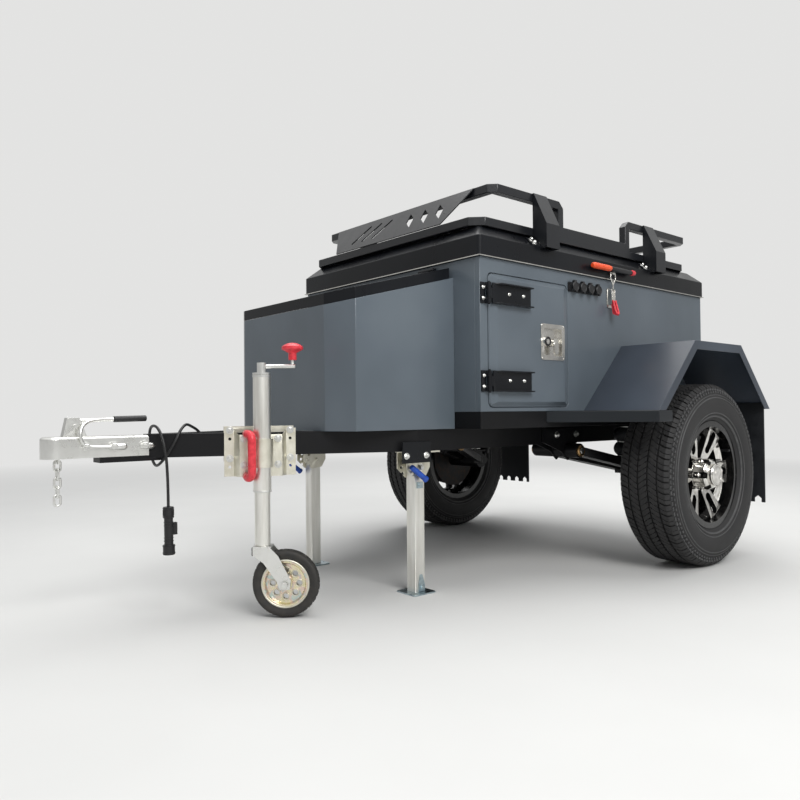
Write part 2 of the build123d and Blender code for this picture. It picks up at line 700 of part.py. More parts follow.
def nose_box():
    rear = at_x(BODY_FRONT_REACH)
    height = nose_lid_z(rear) - BEAM_TOP + 20
    outer = Pos(0, 0, BEAM_TOP) * extrude(nose_plan(0, rear), amount=height)
    inner = Pos(0, 0, BEAM_TOP + NOSE_BOX_WALL) * extrude(nose_plan(NOSE_BOX_WALL, rear - NOSE_BOX_WALL), amount=height)
    return outer - inner - slope_cut(-SEAT_GAP, 400)


def nose_lid():
    rear = at_x(NOSE_LID_REAR_REACH)
    whole = Pos(0, 0, BEAM_TOP) * extrude(nose_plan(0, rear), amount=nose_lid_z(rear) - BEAM_TOP + 200)
    lid = whole & slope_cut(0, NOSE_LID_THICKNESS)
    return lid


# Main lid
def lid_ring(x_in, y_in, z):
    """A rounded rectangle at one height of the lid, moved in by the insets."""
    length = LID_FRONT_REACH + LID_REAR - 2 * x_in
    width = 2 * (LID_HALF_WIDTH - y_in)
    middle = (at_x(LID_FRONT_REACH) + at_x(-LID_REAR)) / 2
    return Pos(middle, 0, z) * RectangleRounded(length, width, 16)


def main_lid():
    skirt = extrude(lid_ring(0, 0, LID_SKIRT_BOTTOM), amount=LID_SKIRT_TOP - LID_SKIRT_BOTTOM)
    crown = loft([lid_ring(0, 0, LID_SKIRT_TOP).face(), lid_ring(LID_SHOULDER, LID_SHOULDER, LID_TOP).face()])
    well = extrude(lid_ring(LID_WALL, LID_WALL, LID_SKIRT_BOTTOM), amount=LID_SKIRT_TOP - LID_SKIRT_BOTTOM - 4)
    attic = loft([lid_ring(LID_WALL, LID_WALL, LID_SKIRT_TOP - 4).face(),
                  lid_ring(LID_SHOULDER + LID_WALL, LID_SHOULDER + LID_WALL, LID_TOP - LID_WALL).face()])
    return skirt + crown - well - attic


# Roof rack
def rack_rails():
    """The lower loop with three cross bars."""
    half = RACK_TUBE / 2
    x0 = at_x(RACK_FRONT_REACH)
    x1 = at_x(-RACK_REAR)
    wide = RACK_Y + half
    z0 = RACK_RAIL_Z - half
    z1 = RACK_RAIL_Z + half
    outer = chamfer(block(x0, x1, -wide, wide, z0, z1).edges().filter_by(Axis.Z), RACK_CORNER)
    inner = block(x0 + RACK_TUBE, x1 - RACK_TUBE, RACK_TUBE - wide, wide - RACK_TUBE, z0, z1)
    inner = chamfer(inner.edges().filter_by(Axis.Z), RACK_CORNER - RACK_TUBE * (2 - sqrt(2)))
    loop = outer - inner
    bars = 3
    for number in range(1, bars + 1):
        x = x0 + (x1 - x0) * number / (bars + 1)
        loop += block(x - half, x + half, RACK_TUBE - wide - 0.5, wide - RACK_TUBE + 0.5, z0, z1 - 8)
    return loop


def rack_hoops():
    """The upper tube: a hoop at the front, a low run on each rail and a hoop at the rear."""
    half = RACK_TUBE / 2
    low = RACK_RAIL_Z + RACK_TUBE
    high = RACK_TOP_Z
    x_front = at_x(FRONT_HOOP_REACH)
    x_post = at_x(FRONT_POST_REACH)
    x_rise = at_x(REAR_POST_REACH)
    x_rear = at_x(REAR_HOOP_REACH)
    # Side view of the tube as a band between its upper and its lower outline
    outline = [(x_front - half, high - half), (x_front - half, high + half), (x_post + half, high + half),
               (x_post + half, low + half), (x_rise - half, low + half), (x_rise - half, high + half),
               (x_rear + half, high + half), (x_rear + half, high - half), (x_rise + half, high - half),
               (x_rise + half, low - half), (x_post - half, low - half), (x_post - half, high - half)]
    band = side_prism(outline, -RACK_Y - half, half - RACK_Y)
    tops = [e for e in band.edges().filter_by(Axis.Y) if e.center().Z > high + half - 1]
    bends = [e for e in tops if abs(e.center().X - x_post) < RACK_TUBE or abs(e.center().X - x_rise) < RACK_TUBE]
    band = chamfer(bends, RACK_TUBE * 0.8)
    frame = band + other_side(band)
    for x, outer_x in ((x_front, x_front - half), (x_rear, x_rear + half)):
        frame += block(x - half, x + half, -RACK_Y - half, RACK_Y + half, high - half, high + half)
        corners = [e for e in frame.edges().filter_by(Axis.Z)
                   if abs(e.center().X - outer_x) < 1 and abs(e.center().Y) > RACK_Y and e.length > RACK_TUBE - 2]
        frame = chamfer(corners, RACK_TUBE * 0.9)
    return frame


# Front edge of each outer bracket, ahead of the axle
STRUTS = (STRUT_FRONT_REACH, STRUT_REAR_REACH)


def rack_brackets():
    """Folded brackets that lean out over the lid's edge, with a bolted tab on its shoulder."""
    solids = []
    inner = RACK_Y + RACK_TUBE / 2 + SEAT_GAP
    top = RACK_TOP_Z + RACK_TUBE / 2
    slope = (LID_TOP - LID_SKIRT_TOP) / LID_SHOULDER
    shelf = LID_SKIRT_TOP + slope * (LID_HALF_WIDTH - inner) + SEAT_GAP * 2
    edge = LID_HALF_WIDTH + SEAT_GAP
    for reach in STRUTS:
        x0 = at_x(reach)
        outline = [(-inner, top), (-inner - 6, top), (-STRUT_OUT, STRUT_KNEE_Z), (-STRUT_OUT, STRUT_FOOT_Z),
                   (-edge, STRUT_FOOT_Z), (-edge, LID_SKIRT_TOP + SEAT_GAP), (-inner, shelf)]
        bracket = end_prism(outline, x0, x0 + STRUT_WIDTH)
        wall = 5
        hollow = [(-inner + 1, top - 30), (-inner - wall, top - 30), (wall - STRUT_OUT, STRUT_KNEE_Z - 2),
                  (wall - STRUT_OUT, STRUT_FOOT_Z - 1), (-edge + 1, STRUT_FOOT_Z - 1), (-inner + 1, shelf - 3)]
        bracket -= end_prism(hollow, x0 + wall, x0 + STRUT_WIDTH - wall)
        tab = [(-edge, LID_SKIRT_TOP + SEAT_GAP * 2), (-inner, shelf), (-inner, shelf + 5),
               (-edge, LID_SKIRT_TOP + SEAT_GAP * 2 + 5)]
        bracket += end_prism(tab, x0 - 45, x0 + 2)
        solids.append(bracket)
    return solids


def rack_plate():
    """The leaning plate at the front, with three slots and three diamonds cut in it."""
    x_low = at_x(RACK_FRONT_REACH)
    x_high = at_x(FRONT_HOOP_REACH) - RACK_TUBE / 2 - SEAT_GAP
    z_low = RACK_RAIL_Z + RACK_TUBE / 2 + SEAT_GAP
    z_high = RACK_TOP_Z + RACK_TUBE / 2 - 4
    outline = [(x_low, -330, z_low), (x_high, -425, z_high), (x_high, 425, z_high), (x_low, 330, z_low)]
    normal = Vector(-(z_high - z_low), 0, x_high - x_low).normalized()
    plate = prism(outline, normal * 4)
    rise = Vector(x_high - x_low, 0, z_high - z_low)
    middle = Vector(x_low, 0, z_low) + rise * 0.5 - normal * 10
    place = Plane(origin=middle, z_dir=normal, x_dir=(0, 1, 0))
    for y in (-290, -190, -90):
        plate -= place * extrude(Pos(y, 0) * Rot(0, 0, 20) * Polygon((-24, 0), (0, 46), (24, 0), (0, -46)), amount=30)
    for y in (60, 130, 200):
        plate -= place * extrude(Pos(y, 0) * Rot(0, 0, 45) * SlotOverall(120, 12), amount=30)
    return plate


# Fenders, steps and mud flaps
def arch(half_low, half_high, z_low, z_high):
    return [(AXLE_X - half_low, z_low), (AXLE_X - half_high, z_high), (AXLE_X + half_high, z_high),
            (AXLE_X + half_low, z_low)]


def fender_left():
    outer = arch(FENDER_BOTTOM_HALF, FENDER_TOP_HALF, FENDER_BOTTOM, FENDER_TOP)
    sheet = FENDER_SHEET
    inner = arch(FENDER_BOTTOM_HALF - sheet * 1.42, FENDER_TOP_HALF - sheet * 0.42, FENDER_BOTTOM, FENDER_TOP - sheet)
    lip = arch(FENDER_BOTTOM_HALF - FENDER_LIP * 1.42, FENDER_TOP_HALF - FENDER_LIP * 0.42, FENDER_BOTTOM,
               FENDER_TOP - FENDER_LIP)
    skin = side_prism(outer, -FENDER_OUT, -BODY_HALF_WIDTH) - side_prism(inner, -FENDER_OUT, -BODY_HALF_WIDTH)
    edge = side_prism(outer, -FENDER_OUT, sheet - FENDER_OUT) - side_prism(lip, -FENDER_OUT, sheet - FENDER_OUT)
    return skin + edge


def step_left():
    """A folded triangular tread ahead of the fender."""
    x0 = at_x(STEP_FRONT_REACH)
    x1 = at_x(FENDER_BOTTOM_HALF)
    top = FENDER_BOTTOM
    outline = [(x0, -BODY_HALF_WIDTH), (x1, -FENDER_OUT), (x1 + STEP_END, -FENDER_OUT), (x1 + STEP_END, -BODY_HALF_WIDTH)]
    return plan_prism(outline, top - STEP_DEPTH, top - SEAT_GAP)


def mud_flap_left():
    """A rubber flap behind the wheel, notched along its lower edge."""
    x = AXLE_X + FLAP_X
    slope = (FENDER_TOP - FENDER_BOTTOM) / (FENDER_BOTTOM_HALF - FENDER_TOP_HALF)
    sheet_drop = FENDER_SHEET * hypot(1, slope)
    top = FENDER_BOTTOM + slope * (FENDER_BOTTOM_HALF - FLAP_X - FLAP_THICKNESS) - sheet_drop - SEAT_GAP
    flap = block(x, x + FLAP_THICKNESS, -FLAP_OUTER_Y, -BODY_HALF_WIDTH - SEAT_GAP, FLAP_BOTTOM, top)
    flap += block(x, x + FLAP_THICKNESS, -FLAP_OUTER_Y, -FLAP_INNER_Y, FLAP_BOTTOM, BEAM_TOP - SEAT_GAP)
    pitch = (FLAP_OUTER_Y - FLAP_INNER_Y) / FLAP_NOTCHES
    for number in range(FLAP_NOTCHES):
        y = -FLAP_INNER_Y - (number + 0.5) * pitch
        notch = [(y - pitch / 4, FLAP_BOTTOM - 1), (y - pitch / 4, FLAP_BOTTOM + 18), (y, FLAP_BOTTOM + 30),
                 (y + pitch / 4, FLAP_BOTTOM + 18), (y + pitch / 4, FLAP_BOTTOM - 1)]
        flap -= end_prism(notch, x - 1, x + FLAP_THICKNESS + 1)
    return flap


# Suspension
def suspension_arm_left():
    """A trailing arm: two tapered box legs from one bush tube to the axle carrier."""
    pivot_x = at_x(ARM_PIVOT_REACH)
    inner_y = -ARM_INNER_Y
    outer_y = -RAIL_Y - BEAM_WIDTH / 2 - PIVOT_PLATE - 60
    low = BEAM_TOP - BEAM_HEIGHT
    bush = rod((pivot_x, inner_y, low - ARM_BUSH_RADIUS), (pivot_x, outer_y, low - ARM_BUSH_RADIUS), ARM_BUSH_RADIUS)
    tyre_inner = WHEEL_Y - TYRE_WIDTH / 2
    outer_end = HUB_INNER_Y - SEAT_GAP
    carrier = rod((AXLE_X, -outer_end, TYRE_RADIUS), (AXLE_X, -tyre_inner + 150, TYRE_RADIUS), CARRIER_RADIUS)
    arm = bush + carrier
    legs = ((outer_y + 22, -tyre_inner + 34), (inner_y - 24, -tyre_inner + 132))
    for y_pivot, y_axle in legs:
        front = Plane(origin=(pivot_x, y_pivot, low - ARM_BUSH_RADIUS), z_dir=(1, 0, 0)) * Rectangle(ARM_LEG_WIDTH, 50)
        rear = Plane(origin=(AXLE_X, y_axle, TYRE_RADIUS), z_dir=(1, 0, 0)) * Rectangle(ARM_LEG_WIDTH, 66)
        arm += loft([front.face(), rear.face()])
    spring_x = AXLE_X - SPRING_AHEAD
    tray_half = BELLOWS_RADIUS - 8
    tray = block(spring_x - tray_half, spring_x + tray_half, -SPRING_Y - tray_half, tray_half - SPRING_Y,
                 SPRING_TRAY_TOP - SPRING_PLATE, SPRING_TRAY_TOP)
    posts = block(spring_x - 30, spring_x + 30, -SPRING_Y - 50, 50 - SPRING_Y, TYRE_RADIUS - 10, SPRING_TRAY_TOP - 2)
    return arm + tray + posts


def air_spring_left():
    """A rubber bellows of two rolls between the arm's tray and a plate under the rail."""
    x = AXLE_X - SPRING_AHEAD
    low = SPRING_TRAY_TOP + SEAT_GAP
    high = BEAM_TOP - SPRING_PLATE - SEAT_GAP
    roll = (high - low - 16) / 2
    neck = BELLOWS_RADIUS - 20
    with BuildPart() as bellows:
        with BuildSketch(Plane.XZ):
            with BuildLine():
                Polyline((0, high), (0, low), (neck, low), (neck, low + 8))
                ThreePointArc((neck, low + 8), (BELLOWS_RADIUS, low + 8 + roll / 2), (neck, low + 8 + roll))
                ThreePointArc((neck, low + 8 + roll), (BELLOWS_RADIUS, high - 8 - roll / 2), (neck, high - 8))
                Polyline((neck, high - 8), (neck, high), (0, high))
            make_face()
        revolve(axis=Axis.Z)
    return Pos(x, -SPRING_Y, 0) * bellows.part


def spring_tower_left():
    """A folded bracket outside the rail that the air spring pushes up against."""
    x = AXLE_X - SPRING_AHEAD
    outer = -SPRING_Y - 54
    inner = -RAIL_Y - BEAM_WIDTH / 2
    half = BELLOWS_RADIUS + 4
    return block(x - half, x + half, outer, inner, BEAM_TOP - SPRING_PLATE, BEAM_TOP)


def shock_left():
    """A damper from behind the arm's carrier up to the chassis rail, with an eye at each end."""
    low = Vector(AXLE_X + CARRIER_RADIUS + SHOCK_EYE + SEAT_GAP, -SHOCK_Y, TYRE_RADIUS)
    high = Vector(low.X + SHOCK_LEAN, -SHOCK_Y, BEAM_TOP - SHOCK_EYE - SEAT_GAP)
    rise = high - low
    shock = rod(low, high, SHOCK_RADIUS * 0.45)
    shock += rod(low + rise * 0.2, low + rise * 0.55, SHOCK_RADIUS)
    shock += rod(low + rise * 0.6, low + rise * 0.85, SHOCK_RADIUS + 3)
    for end in (low, high):
        shock += rod(end - Vector(0, 20, 0), end + Vector(0, 20, 0), SHOCK_EYE)
    return shock


def pivot_mount_left():
    """The plates that carry the arm's bush below the rail, bolted to the rail's side."""
    low = BEAM_TOP - BEAM_HEIGHT
    x0 = at_x(MOUNT_FRONT_REACH)
    x1 = at_x(MOUNT_REAR_REACH)
    pivot_x = at_x(ARM_PIVOT_REACH)
    mounts = []
    outline = [(x0, low + 62), (x0, low + 10), (pivot_x - 44, low - 34), (pivot_x, low - 72), (pivot_x + 44, low - 34),
               (x1, low + 10), (x1, low + 62)]
    outer = -RAIL_Y - BEAM_WIDTH / 2
    for face in (outer, BEAM_WIDTH / 2 - RAIL_Y + PIVOT_PLATE):
        plate = side_prism(outline, face - PIVOT_PLATE, face)
        bore = rod((pivot_x, face - 20, low - ARM_BUSH_RADIUS), (pivot_x, face + 20, low - ARM_BUSH_RADIUS),
                   ARM_BUSH_RADIUS + SEAT_GAP)
        mounts.append(plate - bore)
    return mounts


# Coupler, chain and cable
def coupler_body():
    head_x = at_x(NOSE_REACH) + COUPLER_HEAD_RADIUS
    tail_x = at_x(COUPLER_TAIL_REACH)
    half = COUPLER_HALF_WIDTH
    neck_x = head_x + 70
    outline = [(head_x, -COUPLER_HEAD_RADIUS), (neck_x, -half), (tail_x, -half), (tail_x, half), (neck_x, half),
               (head_x, COUPLER_HEAD_RADIUS)]
    height = COUPLER_TOP - COUPLER_BOTTOM
    body = plan_prism(outline, COUPLER_BOTTOM, COUPLER_TOP)
    body += Pos(head_x, 0, COUPLER_BOTTOM + height / 2) * Cylinder(COUPLER_HEAD_RADIUS, height)
    body = fillet(body.faces().sort_by(Axis.Z)[-1].edges(), 9)
    wall = 7
    body -= block(neck_x, tail_x, wall - half, half - wall, COUPLER_BOTTOM, COUPLER_TOP - wall)
    body -= Pos(head_x, 0, COUPLER_BOTTOM + 20) * Cylinder(BALL_BORE_RADIUS, 40)
    return body


def coupler_latch():
    """The latch plate, pivot and lever rod on top of the coupler."""
    top = COUPLER_TOP
    x = at_x(COUPLER_PIN_REACH)
    outline = [(x - 34, top), (x - 22, top + 56), (x + 12, top + 56), (x + 34, top)]
    plate = side_prism(outline, -14, 14)
    lever = rod((x - 6, 0, top + 46), (at_x(LEVER_GRIP_REACH), 0, top + 50), 6)
    pin = rod((x, -19, top + 30), (x, 19, top + 30), 7)
    return plate + lever + pin


def coupler_grip():
    top = COUPLER_TOP
    start_x = at_x(LEVER_GRIP_REACH) + SEAT_GAP
    grip = rod((start_x, 0, top + 50), (start_x + LEVER_GRIP_LENGTH, 0, top + 52), 9.5)
    return fillet(grip.edges(), 3)


CHAIN_LINKS = 5
LINK_WIRE = 7
LINK_LENGTH = 40
LINK_WIDTH = 25
LUG_HOLE_RADIUS = 5.5
LUG_HOLE_DROP = 6
LUG_THICKNESS = 6


def safety_chain():
    """Short links hanging from a lug on the far side of the coupler."""
    lug_x = at_x(CHAIN_REACH)
    lug_y = COUPLER_HEAD_RADIUS - 4
    links = []
    pitch = LINK_LENGTH - 2 * LINK_WIRE - SEAT_GAP
    straight = LINK_LENGTH - LINK_WIDTH
    bend = (LINK_WIDTH - LINK_WIRE) / 2
    curve_drop = bend - sqrt(bend ** 2 - (LUG_THICKNESS / 2) ** 2)
    play = LUG_HOLE_RADIUS - LINK_WIRE / 2 - curve_drop - SEAT_GAP
    top = COUPLER_BOTTOM - LUG_HOLE_DROP - play
    for number in range(CHAIN_LINKS):
        z = top - LINK_LENGTH / 2 + LINK_WIRE / 2 - number * pitch
        with BuildPart() as link:
            with BuildLine(Plane.XZ) as path:
                Line((-bend, -straight / 2), (-bend, straight / 2))
                ThreePointArc((-bend, straight / 2), (0, straight / 2 + bend), (bend, straight / 2))
                Line((bend, straight / 2), (bend, -straight / 2))
                ThreePointArc((bend, -straight / 2), (0, -straight / 2 - bend), (-bend, -straight / 2))
            with BuildSketch(Plane(origin=(-bend, 0, 0), z_dir=(0, 0, 1))):
                Circle(LINK_WIRE / 2)
            sweep(path=path.wires()[0])
        turn = 90 if number % 2 else 0
        links.append(Pos(lug_x, lug_y + 10, z) * Rot(0, 0, turn) * link.part)
    return links


def chain_lug():
    lug_x = at_x(CHAIN_REACH)
    lug_y = COUPLER_HEAD_RADIUS - 4 + 10
    half = LUG_THICKNESS / 2
    hole_z = COUPLER_BOTTOM - LUG_HOLE_DROP
    plate = block(lug_x - half, lug_x + half, COUPLER_HEAD_RADIUS - 12, lug_y + 14, hole_z - 12, COUPLER_BOTTOM + 14)
    hole = rod((lug_x - LUG_THICKNESS, lug_y, hole_z), (lug_x + LUG_THICKNESS, lug_y, hole_z), LUG_HOLE_RADIUS)
    return plate - hole


# Route of the trailer cable, X from the axle line: out of the frame, once round the drawbar, down to the plug
CABLE_ROUTE = [
    (-1853.2, -34.8, 552), (-1843, -13, 552), (-1842, 8, 566), (-1858, 14, 590), (-1886, 2, 603),
    (-1912, -26, 610), (-1934, -52, 607), (-1956, -70, 590), (-1974, -75, 556), (-1994, -62, 516),
    (-2008, -35, 485), (-2004, 10, 476), (-1998, 54, 498), (-2000, 68, 548), (-2008, 48, 594), (-2016, 0, 609),
    (-2018, -48, 601), (-2012, -74, 562), (-2006, -82, 508), (-2002, -81, 452), (-2000, -80, 400), (-1999, -79, 354),
]


def cable_points():
    return [Vector(x + AXLE_X, y, z) for x, y, z in CABLE_ROUTE]


def cable_radii(points):
    """The largest even arc at each corner of the route."""
    radii = []
    for before, corner, after in zip(points, points[1:], points[2:]):
        turn = radians((corner - before).get_angle(after - corner))
        shorter = min((corner - before).length, (after - corner).length)
        radii.append(0.45 * shorter / tan(turn / 2))
    return radii


def cable():
    points = cable_points()
    radii = cable_radii(points)
    path = FilletPolyline(*points, radius=radii)
    start = Plane(origin=path @ 0, z_dir=path % 0)
    tube = sweep(start * Circle(CABLE_DIAMETER / 2), path=path)
    section = pi * (CABLE_DIAMETER / 2) ** 2
    print("cable radii", [round(r) for r in radii])
    print("cable length", round(path.length), "volume ratio", round(tube.volume / (section * path.length), 4))
    return tube


def cable_gland():
    """The screwed gland on the near beam's inner face that the cable comes out of."""
    points = cable_points()
    lead = (points[1] - points[0]).normalized()
    base = points[0] - lead * GLAND_LENGTH
    gland = rod(base, points[0], CABLE_DIAMETER)
    gland += rod(base, base + lead * 6, CABLE_DIAMETER + 4)
    return gland


def cable_plug():
    """The plug hanging on the cable's end, with its gland, barrel, side catch and end ring."""
    points = cable_points()
    way = (points[-1] - points[-2]).normalized()
    place = Plane(origin=points[-1], z_dir=way, x_dir=(1, 0, 0))
    plug = Pos(0, 0, 17) * Cylinder(16, 34) + Pos(0, 0, 76) * Cylinder(13.5, 84)
    plug += Pos(0, 0, 133) * Cylinder(18, 30) + Pos(13, 0, 69) * Box(26, 12, 38)
    return place * plug


# Jockey wheel
def heading_plane(z):
    """A plane on the jockey's axis with +X towards the trailing wheel."""
    turn = radians(JOCKEY_HEADING)
    return Plane(origin=(at_x(JOCKEY_X), -JOCKEY_Y, z), x_dir=(cos(turn), sin(turn), 0), z_dir=(0, 0, 1))


def beam_plane(z):
    """A plane on the near beam's outer face below the jockey: +X back along the beam, +Y outward."""
    angle = radians(DRAWBAR_HALF_ANGLE)
    along = Vector(cos(angle), -sin(angle), 0)
    out = Vector(-sin(angle), -cos(angle), 0)
    apex = Vector(at_x(DRAWBAR_APEX_REACH), 0, 0)
    axis = Vector(at_x(JOCKEY_X), -JOCKEY_Y, 0)
    run = (axis - apex).dot(along)
    foot = apex + along * run + out * (BEAM_WIDTH / 2)
    place = Plane(origin=(foot.X, foot.Y, z), x_dir=along, z_dir=along.cross(out))
    reach = (axis - foot).dot(out)
    return place, reach


def hat_bolts():
    """Where the four bolts pass above and below the beam: distance along it, height."""
    side = HAT_FOOT - HAT_BOLT_INSET
    heights = (BEAM_TOP - BEAM_HEIGHT - HAT_BOLT_CLEAR, BEAM_TOP + HAT_BOLT_CLEAR)
    return [(s, z) for s in (-side, side) for z in heights]


def jockey_bracket():
    """A pressed hat bracket with a round swivel plate and a clamp round the tube."""
    place, reach = beam_plane(0)
    flat = place.z_dir.Z
    low = BEAM_TOP - BEAM_HEIGHT - 66
    high = BEAM_TOP + 14
    inner = HAT_DEPTH - HAT_SHEET
    foot = SEAT_GAP + HAT_SHEET
    crest = HAT_RIB - 16
    hat = [(-HAT_FOOT, SEAT_GAP), (-HAT_RIB, SEAT_GAP), (-crest, inner), (crest, inner), (HAT_RIB, SEAT_GAP),
           (HAT_FOOT, SEAT_GAP), (HAT_FOOT, foot), (HAT_RIB + 4, foot), (crest + 4, HAT_DEPTH), (-crest - 4, HAT_DEPTH),
           (-HAT_RIB - 4, foot), (-HAT_FOOT, foot)]
    face = Polygon(*hat, align=None)
    pressed = extrude(face, amount=(high - low) * flat)
    body = place * Pos(0, 0, low * flat) * pressed
    # The middle of the top edge is lower than its two ends, with a slope at each side
    dip = 20
    slope = 9
    cut = [(-HAT_RIB - slope, high + 1), (slope - HAT_RIB, high - dip), (HAT_RIB - slope, high - dip),
           (HAT_RIB + slope, high + 1)]
    body -= prism([place.from_local_coords(Vector(s, -1, z * flat)) for s, z in cut], place.y_dir * (HAT_DEPTH + 2))
    for s, z in hat_bolts():
        body -= place * Pos(s, 0, z * flat) * Rot(90, 0, 0) * Cylinder(HAT_BOLT_RADIUS + SEAT_GAP, 3 * foot)
        body -= place * Pos(s, 0, (z - HAT_HOLE_DROP) * flat) * Rot(90, 0, 0) * Cylinder(HAT_BOLT_RADIUS, 3 * foot)
    middle = (low + high) / 2
    swivel = place * Pos(0, HAT_DEPTH, middle * flat) * Rot(90, 0, 0) * Cylinder(46, 12)
    clamp = place * Pos(0, reach, middle * flat) * Cylinder(JOCKEY_TUBE_RADIUS + 7, 90)
    bridge = place * Pos(0, (reach + HAT_DEPTH) / 2, middle * flat) * Box(52, reach - HAT_DEPTH, 90)
    body = body + swivel + bridge + clamp
    bore = place * Pos(0, reach, middle * flat) * Cylinder(JOCKEY_TUBE_RADIUS + SEAT_GAP, 200)
    return body - bore


def jockey_back_plate():
    """The clamp plate behind the beam and its four bolts above and below it."""
    place, reach = beam_plane(0)
    flat = place.z_dir.Z
    low = BEAM_TOP - BEAM_HEIGHT
    size = (2 * HAT_FOOT, 6, BEAM_HEIGHT + 40)
    plate = place * Pos(0, -BEAM_WIDTH - 3 - SEAT_GAP, (low + BEAM_HEIGHT / 2) * flat) * Box(*size)
    for s, z in hat_bolts():
        plate += place * Pos(s, -BEAM_WIDTH / 2, z * flat) * Rot(90, 0, 0) * Cylinder(HAT_BOLT_RADIUS, BEAM_WIDTH + 20)
    return plate


def jockey_tube():
    x = at_x(JOCKEY_X)
    y = -JOCKEY_Y
    tube = rod((x, y, JOCKEY_TUBE_BOTTOM), (x, y, JOCKEY_TUBE_TOP), JOCKEY_TUBE_RADIUS)
    tube -= rod((x, y, JOCKEY_TUBE_BOTTOM), (x, y, JOCKEY_TUBE_TOP), JOCKEY_BORE_RADIUS)
    return tube


def jockey_crank():
    """Cap, crank arm and the stem of its knob."""
    x = at_x(JOCKEY_X)
    y = -JOCKEY_Y
    turn = radians(JOCKEY_HEADING)
    cap = rod((x, y, JOCKEY_TUBE_TOP), (x, y, JOCKEY_TUBE_TOP + 6), JOCKEY_TUBE_RADIUS + 1)
    cap += rod((x, y, JOCKEY_TUBE_TOP + 6), (x, y, CRANK_Z + 12), 15)
    cap += rod((x, y, JOCKEY_TUBE_TOP), (x, y, JOCKEY_TUBE_TOP - JOCKEY_CAP_DEPTH), JOCKEY_BORE_RADIUS - SEAT_GAP)
    way = Vector(cos(turn), sin(turn), 0)
    axis = Vector(x, y, 0)
    knob = axis + way * CRANK_REACH
    arm = rod(axis + Vector(0, 0, CRANK_Z), knob + way * 9 + Vector(0, 0, CRANK_Z), 6.5)
    stem = rod(knob + Vector(0, 0, CRANK_Z), knob + Vector(0, 0, KNOB_Z - 12), 5)
    return cap + arm + stem


def jockey_knob():
    """The mushroom knob on the crank."""
    turn = radians(JOCKEY_HEADING)
    x = at_x(JOCKEY_X) + CRANK_REACH * cos(turn)
    y = -JOCKEY_Y + CRANK_REACH * sin(turn)
    brim = 34
    edge = 10
    dome = 23
    ball = (brim ** 2 + (dome - edge) ** 2) / (2 * (dome - edge))
    hub_z = dome - ball
    with BuildPart() as knob:
        with BuildSketch(Plane.XZ):
            with BuildLine():
                Polyline((0, dome), (0, -32), (13, -32), (13, -10), (brim, 2), (brim, edge))
                ThreePointArc((brim, edge), (brim / 2, hub_z + (ball ** 2 - brim ** 2 / 4) ** 0.5), (0, dome))
            make_face()
        revolve(axis=Axis.Z)
    solid = Pos(x, y, KNOB_Z) * knob.part
    return solid - rod((x, y, KNOB_Z - 40), (x, y, KNOB_Z - 11), 5 + SEAT_GAP)


def jockey_handle():
    """The red release handle, a C of round bar in front of the swivel."""
    place, reach = beam_plane(0)
    flat = place.z_dir.Z
    z0 = BEAM_TOP - BEAM_HEIGHT - 64
    z1 = BEAM_TOP - 3
    seat = HAT_DEPTH + SEAT_GAP
    leg_s = -JOCKEY_TUBE_RADIUS - HANDLE_RADIUS - 5
    bar_s = leg_s + 11
    upper = [(leg_s, seat), (leg_s, reach + 20), (bar_s, reach + 44)]
    points = [place.from_local_coords(Vector(s, n, z1 * flat)) for s, n in upper]
    points += [place.from_local_coords(Vector(s, n, z0 * flat)) for s, n in reversed(upper)]
    path = FilletPolyline(*points, radius=[9, 20, 20, 9])
    start = Plane(origin=path @ 0, z_dir=path % 0)
    return sweep(start * Circle(HANDLE_RADIUS), path=path)


def jockey_inner_tube():
    x = at_x(JOCKEY_X)
    y = -JOCKEY_Y
    tube = rod((x, y, JOCKEY_INNER_BOTTOM), (x, y, JOCKEY_INNER_TOP), JOCKEY_INNER_RADIUS)
    return tube - rod((x, y, JOCKEY_INNER_BOTTOM), (x, y, JOCKEY_INNER_BOTTOM + 30), JOCKEY_AXLE_RADIUS + PIN_GAP)


def jockey_fork():
    """A pressed yoke with two swept cheeks, its king pin and the wheel's axle."""
    place = heading_plane(0)
    top = JOCKEY_INNER_BOTTOM - SEAT_GAP
    axle = (JOCKEY_TRAIL, JOCKEY_WHEEL_RADIUS)
    cheek_in = JOCKEY_WHEEL_WIDTH / 2 + 5
    cheek_out = cheek_in + 4
    outline = [(-26, top), (26, top), (54, top - 30), (axle[0] + 19, axle[1] + 14), (axle[0] + 16, axle[1] - 16),
               (axle[0] - 16, axle[1] - 16), (axle[0] - 26, axle[1] + 10), (8, top - 52), (-26, top - 26)]
    fork = None
    for y0, y1 in ((-cheek_out, -cheek_in), (cheek_in, cheek_out)):
        cheek = side_prism(outline, y0, y1)
        fork = cheek if fork is None else fork + cheek
    fork += block(-26, 30, -cheek_out, cheek_out, top - 7, top)
    fork += rod((0, 0, top), (0, 0, top + 24), JOCKEY_AXLE_RADIUS)
    fork += rod((axle[0], -cheek_out - 6, axle[1]), (axle[0], cheek_out + 6, axle[1]), JOCKEY_AXLE_RADIUS)
    return place * fork


def jockey_wheel_profile(points):
    place = heading_plane(0)
    turn = Plane(origin=place.from_local_coords(Vector(JOCKEY_TRAIL, 0, JOCKEY_WHEEL_RADIUS)),
                 x_dir=place.x_dir, z_dir=place.y_dir * -1)
    ring = revolve(Plane.XZ * make_face(Polyline(*points, close=True)), axis=Axis.Z)
    return turn * ring


def jockey_tyre():
    half = JOCKEY_WHEEL_WIDTH / 2
    r = JOCKEY_WHEEL_RADIUS
    points = [(JOCKEY_RIM_RADIUS, -half + 5), (r - 14, -half), (r - 4, -half + 5), (r, -half + 12), (r, half - 12),
              (r - 4, half - 5), (r - 14, half), (JOCKEY_RIM_RADIUS, half - 5)]
    return jockey_wheel_profile(points)


